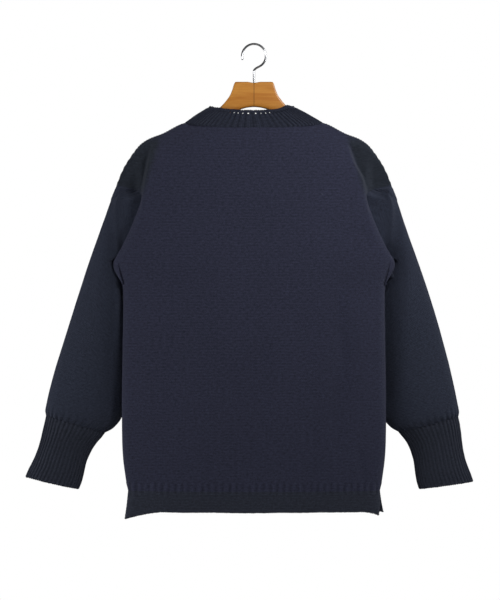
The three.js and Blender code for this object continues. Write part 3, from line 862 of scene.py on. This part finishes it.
def cut_panel(inward, grid):
    shoulder = (np.abs(grid[0, :, 0]) > 0.9 * NECK_FOOT["half_width"]) & (grid[0, :, 2] > UNDERARM[0])
    inward[0, shoulder, 1] = 0
    inward[0, ~shoulder, 2] = 0
    inward[-1, :, 2] = 0
    for end in (0, -1):
        side = (np.abs(grid[:, end, 1]) < 2) & (grid[:, end, 2] < UNDERARM[0])
        inward[side, end, 1] = 0


def cut_welt(inward, grid):
    cut_level(inward, grid)
    inward[:, (0, -1), 1] = 0


def cut_strap(inward, grid):
    inward[:, (0, -1), 1] = 0


def cut_armhole(inward, grid):
    y = grid[0, :, 1]
    far = np.abs(y) > 6
    inward[0, far] = np.stack([np.zeros(far.sum()), np.sign(y[far]), np.zeros(far.sum())], -1)


def panel_columns(count):
    """Shares across a panel, closer together where the armhole fold turns."""
    even = np.linspace(-1, 1, count)
    return (even + 0.07 * np.sin(math.pi * even))[::-1] * 0.999


def panel_grid(side, levels, shares):
    grid = panel_points(levels, shares, FOLDS[side])
    lift = hills(grid[..., 0], grid[..., 2], CREASES[side])
    soft = waves(grid[..., 0] / 55, grid[..., 2] / 80, 11 if side == "front" else 12)
    lift += 0.5 * soft * smooth((grid[..., 2] - WELT_TOP) / 60)
    # Beyond the fold over the armhole the panel lies back, close to the hanger's arm.
    fold = np.array(ARM_FOLD, float)
    x, z = grid[..., 0], grid[..., 2]
    if side == "back":
        fold = fold * (1, -1, -1)
    heights = np.clip(-z.ravel(), 165, 262)
    at = through(-fold[:, 0], np.sort(fold[:, 1:], axis=1), heights).reshape(*z.shape, 2)
    past = np.where(x < 0, at[..., 0] - x, x - at[..., 1])
    back = smooth(past / 7) * smooth((-158 - z) / 22) * smooth((z + 285) / 24)
    rest = ARM_REST + 8.0 * smooth((-172 - z) / 60) * smooth((np.abs(x) - 186) / 16)
    grid[..., 1] += back * np.maximum(0, rest - grid[..., 1])
    # A small pucker runs along the armhole seam.
    near = smooth((np.abs(shares)[None, :] - 0.955) / 0.03) * smooth((8.4 - levels)[:, None] / 0.6)
    lift += 0.5 * near * np.sin(grid[..., 2] / 2.6)
    grid[..., 1] -= lift
    grid[..., 1] = np.minimum(grid[..., 1], -0.05)
    return grid


def seated(grid):
    """Distance across the knitting, kept from the middle of the piece so that wales stay upright."""
    across = steps(grid, (0, 1))
    return across - across[:, [across.shape[1] // 2]]


class Build:
    """The settings of one run and the materials its pieces share."""

    def __init__(self, context):
        self.settings = context.scene.guernsey
        # The body's wool gets painted shade on the tops of the shoulders.
        self.body = self.wool("Wool, plain knitting", (1, 1, 1), streaks=1.0, shade_caps=True)
        self.arm = self.wool("Wool, sleeves", (1.0, 1.12, 0.98))
        self.neck = self.wool("Wool, neckband", (0.68, 0.74, 0.66))
        self.rib = self.wool("Wool, ribs and welts", (0.92, 0.99, 0.80))

    def wool(self, name, tint, streaks=0.8, shade_caps=False):
        colour = tuple(c * f for c, f in zip(self.settings.wool_colour, tint))
        return material_of(name, wool, colour, self.settings, streaks, shade_caps)


def build_panel(context, side):
    b = Build(context)
    levels = np.concatenate([
        np.linspace(0, UNDERARM_LEVEL, 96)[:-1],
        np.linspace(UNDERARM_LEVEL, WELT_LEVEL - 1, 76)[:-1],
        np.linspace(WELT_LEVEL - 1, WELT_LEVEL, 14),
    ])
    shares = panel_columns(PANEL_COLUMNS)
    grid = panel_grid(side, levels, shares)
    if side == "back":
        grid = mirrored(grid, 1)
    relief = dict(rib_pitch=HEM_PITCH, rib_depth=b.settings.hem_depth / MM, rib_from=732.0, rib_to=754.0,
                  fade=4.0, unevenness=0.8)
    piece = knit(f"knitted_{side}", grid, CLOTH, seated(grid), -grid[..., 2], [side], b.body,
                 cut=cut_panel, relief=relief, seed=1 if side == "front" else 2)


def build_welt(context, side):
    b = Build(context)
    shares = panel_columns(PANEL_COLUMNS)
    top = panel_grid(side, np.array([WELT_LEVEL]), shares)[0]
    t = np.linspace(0, 1, 30)[:, None]
    across = shares[None, :]
    left, right = smooth((-across - 0.64) / 0.36), smooth((across - 0.76) / 0.2)
    if side == "front":
        drop = 13.0 * left + 6.5 * right
        spread = t * (-2.5 * left - 5.0 * smooth((across - 0.9) / 0.1))
    else:
        drop, spread = 8.0 * left + 1.0 * right, t * (3.0 * left + 2.5 * right)
    x = top[None, :, 0] * (1 + (WELT_FLARE / 215) * t) + t * spread
    y = top[None, :, 1] * (1 - 0.03 * t)
    z = top[None, :, 2] - 0.15 - (WELT_HEIGHT - 0.8) * t - drop * t
    z = z + 0.7 * t * waves(top[None, :, 0] / 16, t * 0, 21 if side == "front" else 22)
    y = y - 0.6 * t * waves(top[None, :, 0] / 20, t, 23 if side == "front" else 24)
    grid = np.stack(np.broadcast_arrays(x, np.minimum(y, -0.3), z), axis=-1)
    if side == "back":
        grid = mirrored(grid, 1)
    course = np.broadcast_to(WELT_HEIGHT * t, grid.shape[:2])
    relief = dict(ridge_pitch=4.4, ridge_depth=b.settings.garter_depth / MM, ridge_from=1.0, ridge_to=60.0,
                  rib_pitch=HEM_PITCH, rib_depth=0.9, rib_from=-20.0, rib_to=7.0, fade=3.0, unevenness=0.9)
    piece = knit(f"garter_welt_{side}", grid, RIB, seated(grid), course, [f"welt_{side}"], b.rib,
                 cut=cut_welt, relief=relief, seed=5 if side == "front" else 6)
    middle = grid[-1] - normals(grid, False)[-1] * (RIB / 2) * (1, 1, 0)
    edge = chain(f"welt_edge_{side}", middle, 3.2, (2.0, 1.5, 1.0), b.rib, seed=7 if side == "front" else 8)


def build_neckband(context):
    b = Build(context)
    around, ribs, rows = 592, 74, 30
    angles = turns(around)
    shares = np.linspace(1, 0, rows)
    grid = np.array([neck_ring(t, angles, BACK_SAG) for t in shares])
    out = normals(grid, True)
    c, s, up = np.cos(angles)[None, :], np.sin(angles)[None, :], shares[:, None]
    arched = np.sin(math.pi * up)
    bow = arched * 1.2 + 0.6 * waves(c * 4, s * 4 + up, 31)
    ragged = up**4 * 0.9 * waves(c * 14, s * 14, 32, 9)
    grid = grid + out * (bow * arched)[..., None] * 0.5
    # One corner of the edge is pulled up a little.
    grid[..., 2] += ragged + 4.0 * up**4 * np.exp(-(((grid[..., 0] - 55) / 7) ** 2))
    # The foot runs on a little way behind the panels' upper edge.
    grid[-1] += (0, 0, -1.6)
    grid[-1, :, :2] *= 0.985
    pitch = 6.7
    # A row of small eyelets runs under the cast-off edge.
    cell_share = (shares[:-1] + shares[1:]) / 2
    turn = (np.arange(around) + 0.5) / around * EYELETS
    wide = (turn - np.floor(turn) - 0.5) / 0.16
    high = (cell_share - 0.85) / 0.045
    holes = wide[None, :] ** 2 + high[:, None] ** 2 < 1
    relief = dict(rib_pitch=pitch, rib_depth=b.settings.rib_depth / MM * 0.85, rib_from=2.0, rib_to=60.0,
                  fade=3.5, unevenness=0.7)
    period = pitch * ribs
    piece = knit("ribbed_neckband", grid, RIB, ring_wale(grid, period), falls(grid), ["neckband"],
                 b.neck, closed=True, period=period, holes=holes, cut=cut_level, relief=relief, seed=9)
    middle = grid[0] - out[0] * (RIB / 2) * (1, 1, 0)
    edge = chain("neckband_edge", middle, 3.4, (2.1, 1.6, 1.15), b.neck, closed=True, seed=10)


def build_strap(context, name):
    b = Build(context)
    shares = np.linspace(ACROSS[2], 0.995, 90)
    line = panel_points(np.array([0.0]), shares)[0]
    half = np.maximum(-line[:, 1] - 0.1, 0.3)
    t = np.linspace(1, -1, STRAP_COLUMNS)
    arch = np.minimum(STRAP_ARCH, half * 0.4)
    grid = np.stack([
        np.repeat(line[:, None, 0], STRAP_COLUMNS, 1),
        half[:, None] * t[None, :],
        line[:, None, 2] + (1 - t[None, :] ** 2) * arch[:, None],
    ], axis=-1)
    if SIDES[name]["sign"] < 0:
        grid = mirrored(grid, 0)
    along = np.cumsum(np.concatenate([[0], np.linalg.norm(np.diff(line, axis=0), axis=-1)]))
    course = np.repeat(along[:, None], STRAP_COLUMNS, 1)
    relief = dict(ridge_pitch=4.6, ridge_depth=0.9, ridge_from=-10.0, ridge_to=400.0, unevenness=0.4)
    piece = knit(f"ridged_strap_{name}", grid, CLOTH, steps(grid), course, [f"shoulder_strap_{name}"],
                 b.body, cut=cut_strap, relief=relief, seed=13)


def armhole_seam(around, sign):
    """The armhole as the finished panels leave it, on the right-hand side."""
    j = np.arange(around) * RING_POINTS / around
    half, points = RING_POINTS / 2, 200
    near = np.minimum(j, RING_POINTS - j)
    down = np.clip(near / (half - 1), 0, 1) * (points - 1)
    edge = {}
    for side, facing in (("front", 1), ("back", -1)):
        seam = panel_grid(side, np.linspace(0, UNDERARM_LEVEL, points), np.array([sign * 0.999]))
        seam = seam[:, 0] * (sign, facing, 1)
        edge[side] = np.stack([np.interp(down, np.arange(points), column) for column in seam.T], -1)
    points = np.where((j <= half)[:, None], edge["front"], edge["back"])
    tip = smooth(near - (half - 1))[:, None]
    points = lerp(points, np.array(SLEEVE_TIP, float), tip)
    points[:, 1] *= np.where(near < 0.3, near / 0.3, 1)
    return points


def build_sleeve(context, name):
    b = Build(context)
    side = SIDES[name]
    on_left = side["sign"] < 0
    rings = sleeve_rings()
    around, period = 170, 340.0
    levels = np.concatenate([
        np.linspace(0.02, 2, 34)[:-1], np.linspace(2, 8.5, 88)[:-1], np.linspace(8.5, len(rings) - 1, 22)])
    grid = tube_points(rings, levels, around, side)
    # The head follows the panels' own seams.
    off = armhole_seam(around, side["sign"]) - tube_points(rings, np.array([0.0]), around, side)[0]
    grid += (1 - smooth(levels))[:, None, None] * off
    out = normals(grid, True)
    x, z = grid[..., 0], grid[..., 2]
    down = falls(grid)
    left = down[-1] - down
    # The front of the sleeve turns back along a soft crease beside the body.
    crease_top, crease_foot = SLEEVE_CREASE["z"]
    crease = lerp(*SLEEVE_CREASE["x"], (z - crease_top) / (crease_foot - crease_top)) + (0 if on_left else -4)
    hanging = smooth((-318 - z) / 60)
    turned = smooth((crease + 8 - x) / 34) * hanging * smooth((z + 632) / 46)
    back = (3.5 if on_left else 10.0) * turned * np.clip(-out[..., 1] * 1.3, 0, 1)
    if on_left:
        # On this side the sleeve stays flat until it is behind the body's edge.
        beside = smooth((240 - x) / 16) * hanging * smooth((z + 640) / 40)
        back = back - 7.0 * beside * np.clip(-out[..., 1] * 4, 0, 1)
    # Small gathers where the full sleeve is drawn into its cuff, and soft waves above.
    places = np.arange(around)[None, :] / around * math.tau
    gather = 0.9 * np.cos(places * 31 + 1.5 * waves(places * 2, down / 40, 43)) * smooth((26 - left) / 24)
    soft = 1.5 * waves(np.cos(places) * 2.2, down / 70, 41 if on_left else 42)
    soft = soft * smooth(down / 60) * smooth(left / 40)
    grid = grid + out * (gather + soft)[..., None]
    grid[..., 1] += back
    grid = behind_body(grid)
    j = np.arange(around) * RING_POINTS / around
    near = np.minimum(j, RING_POINTS - j)
    under = grid[0] * (1, 0.8, 1) + (-ALLOWANCE["in"], 0, ALLOWANCE["up"])
    under[:, 0] -= 10 * smooth((near - RING_POINTS / 2 + 3) / 2)
    grid = np.concatenate([under[None], grid])
    down = np.concatenate([down[:1] - ALLOWANCE["wide"], down])
    # The ribbed head shows only round the outside of the arm.
    hidden = smooth((near - 1.8) / 3.0)
    if on_left:
        grid = mirrored(grid, 0)
        down, hidden = down[:, ::-1], hidden[::-1]
    down = down + 34 * hidden
    down = lerp(down, down.mean(axis=1, keepdims=True), smooth((down - 40) / 150))
    relief = dict(rib_pitch=period / 44, rib_depth=b.settings.rib_depth / MM, rib_from=3.0, rib_to=29.0,
                  fade=4.0, unevenness=0.8)
    piece = knit(f"knitted_sleeve_{name}", grid, CLOTH, ring_wale(grid, period), down, [f"sleeve_{name}"],
                 b.arm, closed=True, period=period, cut=cut_armhole, relief=relief,
                 seed=15 if on_left else 16)


def build_cuff(context, name):
    b = Build(context)
    side = SIDES[name]
    on_left = side["sign"] < 0
    rings = [tube_ring(row) for row in CUFF]
    around, ribs, rows = 378, 42, 44
    grid = tube_points(rings, np.linspace(0, len(rings) - 1, rows), around, side)
    grid[0] += (0, 0, 0.3)
    out = normals(grid, True)
    down = falls(grid)
    places = np.arange(around)[None, :] / around * math.tau
    uneven = 1.0 * waves(np.cos(places) * 2.4, down / 26, 51 if on_left else 52) * smooth(down / 12)
    bands = 0.7 * np.sin(down / 13.0 + 1.2 * np.sin(places))
    bands = bands * smooth(down / 10) * smooth((down[-1] - down) / 12)
    grid = grid + out * (uneven + bands)[..., None]
    if on_left:
        grid = mirrored(grid, 0)
        down = down[:, ::-1]
    pitch = 6.2
    relief = dict(rib_pitch=pitch, rib_depth=b.settings.rib_depth / MM * 0.7, rib_from=-20.0, rib_to=400.0,
                  fade=3.0, unevenness=0.8)
    period = pitch * ribs
    piece = knit(f"ribbed_cuff_{name}", grid, RIB, ring_wale(grid, period), down, [f"cuff_{name}"],
                 b.rib, closed=True, period=period, relief=relief, seed=17 if on_left else 18)
    middle = grid[-1] - normals(grid, True)[-1] * RIB / 2
    edge = chain(f"cuff_edge_{name}", middle, 3.4, (2.1, 1.5, 1.3), b.rib, closed=True, seed=19)


def build_gusset(context, name):
    b = Build(context)
    count = 26
    v = np.linspace(-0.97, 0.97, count)[:, None]
    u = np.linspace(0, 1, count)[None, :]
    stands = GUSSET["stands"] * np.sin(math.pi * u ** 0.75) ** 1.3
    x = lerp(*GUSSET["x"], u) + stands * np.sqrt(1 - v * v)
    y = GUSSET["half_width"] * v * (1 - 0.3 * u)
    grid = np.stack([x, y, lerp(*GUSSET["z"], u) + 0 * v], axis=-1)
    if SIDES[name]["sign"] < 0:
        grid = mirrored(grid, 0)
    course = np.broadcast_to(np.linspace(0, 40, count)[:, None], (count, count))
    piece = knit(f"underarm_gusset_{name}", grid, CLOTH, steps(grid), course, [f"gusset_{name}"],
                 b.body, relief=dict(unevenness=0.3), seed=21)


def arm_lines(x):
    """Top and underside of the hanger's block and arm at distances from the middle."""
    table = np.array(ARM_TOP, float)
    side = through(table[:, 0], table[:, 1], np.maximum(x, table[0, 0]))
    top = np.where(x < table[0, 0], BLOCK["top"] - BLOCK["notch"] * np.clip(1 - x / 10, 0, 1), side)
    turn = ARCH["radius"] * ARCH["slope"]
    curved = np.minimum(x, turn) ** 2 / (2 * ARCH["radius"])
    under = ARCH["crown"] - curved - np.maximum(0, x - turn) * ARCH["slope"]
    return top, under


def build_arm(context, name):
    end = ARM_TOP[-1][0]
    x = np.concatenate([
        [0.0, 0.0, 0.5], np.linspace(2, 27, 10), np.linspace(28.2, 34, 12), np.linspace(35, 56, 20),
        np.linspace(58, 184, 60), np.linspace(185.5, end, 9), [end]])
    # The first and last rings shrink to points, which close the ends.
    ease = np.concatenate([[0.0], np.ones(len(x) - 2), [0.0]])
    top, under = arm_lines(x)
    half = lerp(WOOD_HALF["middle"], WOOD_HALF["neck"], smooth(x / 115))
    half = lerp(half, WOOD_HALF["end"], smooth((x - 115) / 60))
    tip = np.maximum(0, x - TIP_FROM) / (end - TIP_FROM)
    half = half * np.sqrt(1 - 0.51 * tip**2)
    corner = lerp(0.32, 0.85, smooth((x - 40) / 50))
    angles = turns(56)[None, :]
    middle, reach = (top + under) / 2, (top - under) / 2
    y = -half[:, None] * squared(np.sin(angles), corner[:, None]) * ease[:, None]
    z = middle[:, None] + reach[:, None] * squared(np.cos(angles), corner[:, None]) * ease[:, None]
    rings = np.stack([np.broadcast_to(x[:, None], y.shape), y, z], axis=-1)
    if SIDES[name]["sign"] < 0:
        rings = mirrored(rings, 0)
    wood = material_of("Varnished wood", varnished_wood)
    rod(f"hanger_arm_{name}", rings, wood, f"hanger_{name}")


def rod(name, rings, material, node):
    """A smooth solid through rings of points."""
    rows, width = rings.shape[:2]
    at = np.arange(rows * width).reshape(rows, width)
    after = np.roll(at, -1, 1)
    quads = np.stack([at[:-1], after[:-1], after[1:], at[1:]], -1).reshape(-1, 4)
    piece = mesh_object(name, rings.reshape(-1, 3), quads)
    weld(piece)
    piece.data.materials.append(material)
    settle(piece, [node])


def weld(piece):
    """Joins points that lie together, turns every face outwards and shades the piece smooth."""
    shape = bmesh.new()
    shape.from_mesh(piece.data)
    bmesh.ops.remove_doubles(shape, verts=shape.verts, dist=1e-6)
    bmesh.ops.recalc_face_normals(shape, faces=shape.faces)
    shape.to_mesh(piece.data)
    shape.free()
    piece.data.shade_smooth()
    piece.data.set_sharp_from_angle(angle=math.radians(48))


def build_hook(context):
    centre = WIRE / 2 - BOW
    foot = BLOCK["top"] - BLOCK["notch"] - 6
    shank = np.stack([np.zeros(12), np.linspace(foot, centre - BOW - 8, 12)], -1)
    turn = np.radians(np.linspace(-64, 200, 70))
    bow = np.stack([BOW * np.cos(turn), centre + BOW * np.sin(turn)], -1)
    join = np.vstack([shank[-1], (0, centre - BOW - 4.5), (3.2, centre - BOW - 1.0), bow[0]])
    bend = through(np.arange(4), join, np.linspace(0, 3, 16))[1:-1]
    line = np.vstack([shank, bend, bow])
    line = np.stack([line[:, 0], np.zeros(len(line)), line[:, 1]], -1)
    line = np.vstack([line[0], line, line[-1]])
    size = np.concatenate([[0.02], np.full(len(line) - 3, 1.0), [0.72, 0.02]]) * WIRE / 2
    tangent = np.gradient(line, axis=0)
    tangent[0], tangent[-1] = tangent[1], tangent[-2]
    tangent /= np.maximum(np.linalg.norm(tangent, axis=-1, keepdims=True), 1e-9)
    side = np.cross(tangent, (0, 1, 0))
    angles = turns(24)
    rings = line[:, None] + size[:, None, None] * (
        side[:, None] * np.cos(angles)[None, :, None] + np.array((0, 1, 0)) * np.sin(angles)[None, :, None])
    rod("wire_hook", rings, material_of("Bright steel", bright_steel), "hook")


# ------------------------------------------------------------------ stage


def area_light(name, place, target, size, power):
    light = bpy.data.lights.new(name, "AREA")
    light.shape, light.size, light.energy = "DISK", size, power
    lamp = new_object(name, light)
    lamp.location = place
    lamp.rotation_euler = (Vector(target) - Vector(place)).to_track_quat("-Z", "Y").to_euler()


def build_stage(context):
    s = context.scene.guernsey
    scene = context.scene
    angles = turns(FLOOR["corners"])
    rim = np.stack([np.cos(angles), np.sin(angles), 0 * angles], -1) * FLOOR["radius"] + (0, 0, FLOOR["z"])
    mesh = bpy.data.meshes.new("floor")
    mesh.from_pydata([tuple(p * MM) for p in rim], [], [tuple(range(len(rim)))])
    mesh.materials.append(material_of("Pale floor", pale_floor))
    new_object("floor", mesh)

    area_light("key", (0.50, -0.67, 0.17), (0.10, 0.0, -0.20), 0.35, s.key_power)
    area_light("fill", (-1.05, -0.95, -0.25), (-0.25, 0.0, -0.42), 0.7, s.fill_power)
    area_light("side_left", (-1.5, -0.42, -0.30), (-0.22, 0.0, -0.45), 0.6, 1.6 * s.side_power)
    area_light("side_right", (1.5, -0.42, -0.30), (0.22, 0.0, -0.45), 0.6, s.side_power)
    area_light("back", (0.4, 1.8, 0.2), (-0.006, 0.0, -0.42), 1.2, 5.0)

    world = bpy.data.worlds.new("studio")
    scene.world = world
    world.use_nodes = True
    t = Tree(world.node_tree)
    # The surroundings are plain white to the eye and light the sweater only a little.
    ground = t.fill(world.node_tree.nodes["Background"], {"Color": (1, 1, 1, 1), "Strength": s.ambient})
    seen = t.out("ShaderNodeBackground", (1.0, 1.0, 1.0, 1.0), 1.0)
    ray = t.out_named("ShaderNodeLightPath", "Is Camera Ray")
    mixed = t.out("ShaderNodeMixShader", ray, ground.outputs[0], seen)
    t.fill(world.node_tree.nodes["World Output"], {"Surface": mixed})
    t.lay_out()

    camera = bpy.data.cameras.new("camera")
    camera.sensor_fit, camera.sensor_height = "VERTICAL", CAMERA["sensor"]
    camera.lens = CAMERA["sensor"] * CAMERA["distance"] / CAMERA["sees"]
    eye = new_object("camera", camera)
    eye.location = (CAMERA["x"], -CAMERA["distance"], CAMERA["z"])
    eye.rotation_euler = (math.pi / 2, 0, 0)
    scene.camera = eye
    scene.view_settings.view_transform = "Standard"
    scene.view_settings.look = "None"


# ------------------------------------------------------------------ add-on


def number(name, text, default, **limits):
    return bpy.props.FloatProperty(name=name, description=text, default=default, **{"min": 0} | limits)


def length(name, text, default, **limits):
    return number(name, text, default, subtype="DISTANCE", unit="LENGTH", **limits)


def watts(name, text, default):
    return number(name, text, default, subtype="POWER", unit="POWER")


def factor(name, text, default):
    return number(name, text, default, subtype="FACTOR", max=1)


class GuernseySettings(bpy.types.PropertyGroup):
    wool_colour: bpy.props.FloatVectorProperty(
        name="Wool", description="Colour of the dyed wool", subtype="COLOR", min=0, max=1,
        default=(0.0300, 0.0322, 0.0600))
    wale_width: length("Wale width", "Width of one column of stitches", 0.0034, min=0.001)
    # Painted shade in the gaps between stitches.
    painted_stitch_shade: factor("Stitch contrast", "How much darker the gaps between stitches are", 0.5)
    # Painted shade in the grooves between ribs, and painted light on their crests.
    painted_groove_shade: factor(
        "Groove contrast", "How much darker the wool is in the grooves between ribs", 0.26)
    rib_depth: length("Rib depth", "Height of the ribs of cuffs and neckband", 0.0017)
    hem_depth: length("Hem rib depth", "Height of the short ribs above the welt", 0.0013)
    garter_depth: length("Garter depth", "Height of the welt's ridges", 0.0004)
    key_power: watts("Key light", "Power of the key light", 4.9)
    fill_power: watts("Fill light", "Power of the fill light", 2.3)
    side_power: watts("Side lights", "Power of the lights that graze the two sides", 5.5)
    ambient: number("Ambient", "Strength of the surrounding light", 0.06)


def operator(label, text, build):
    """An operator class that builds one piece or one group of pieces."""
    name = label.lower().replace(" ", "_")

    def execute(self, context):
        build(context)
        return {"FINISHED"}

    return type(f"GUERNSEY_OT_{name}", (bpy.types.Operator,), {
        "bl_idname": f"guernsey.{name}", "bl_label": label, "__doc__": text,
        "bl_options": {"REGISTER", "UNDO"}, "execute": execute})


def both(build, *names):
    return lambda context: [build(context, name) for name in names]


def build_hanger(context):
    both(build_arm, "left", "right")(context)
    build_hook(context)


OPERATORS = [
    operator("Build hanger", "Shape the two wooden arms and the wire hook", build_hanger),
    operator("Knit body", "Knit the front and the back", both(build_panel, "front", "back")),
    operator("Knit welts", "Knit the two garter welts below the body", both(build_welt, "front", "back")),
    operator("Knit neckband", "Knit the ribbed neckband and its eyelets", build_neckband),
    operator("Knit straps", "Knit the ridged shoulder straps", both(build_strap, "left", "right")),
    operator("Knit sleeves", "Knit the sleeves from the armholes down", both(build_sleeve, "left", "right")),
    operator("Knit gussets", "Set the gussets in under the arms", both(build_gusset, "left", "right")),
    operator("Knit cuffs", "Knit the ribbed cuffs", both(build_cuff, "left", "right")),
    operator("Set stage", "Add the floor, lights, surroundings and camera", build_stage),
]


class GUERNSEY_PT_panel(bpy.types.Panel):
    bl_idname = "GUERNSEY_PT_panel"
    bl_label = "Guernsey sweater"
    bl_space_type = "VIEW_3D"
    bl_region_type = "UI"
    bl_category = "Guernsey"

    def draw(self, context):
        for name in GuernseySettings.__annotations__:
            self.layout.prop(context.scene.guernsey, name)
        for kind in OPERATORS:
            self.layout.operator(kind.bl_idname)


CLASSES = [GuernseySettings, *OPERATORS, GUERNSEY_PT_panel]


def register():
    for kind in CLASSES:
        bpy.utils.register_class(kind)
    bpy.types.Scene.guernsey = bpy.props.PointerProperty(type=GuernseySettings)


def unregister():
    del bpy.types.Scene.guernsey
    for kind in reversed(CLASSES):
        bpy.utils.unregister_class(kind)


def main():
    register()
    for kind in OPERATORS:
        group, name = kind.bl_idname.split(".")
        getattr(getattr(bpy.ops, group), name)()


if __name__ == "__main__":
    main()
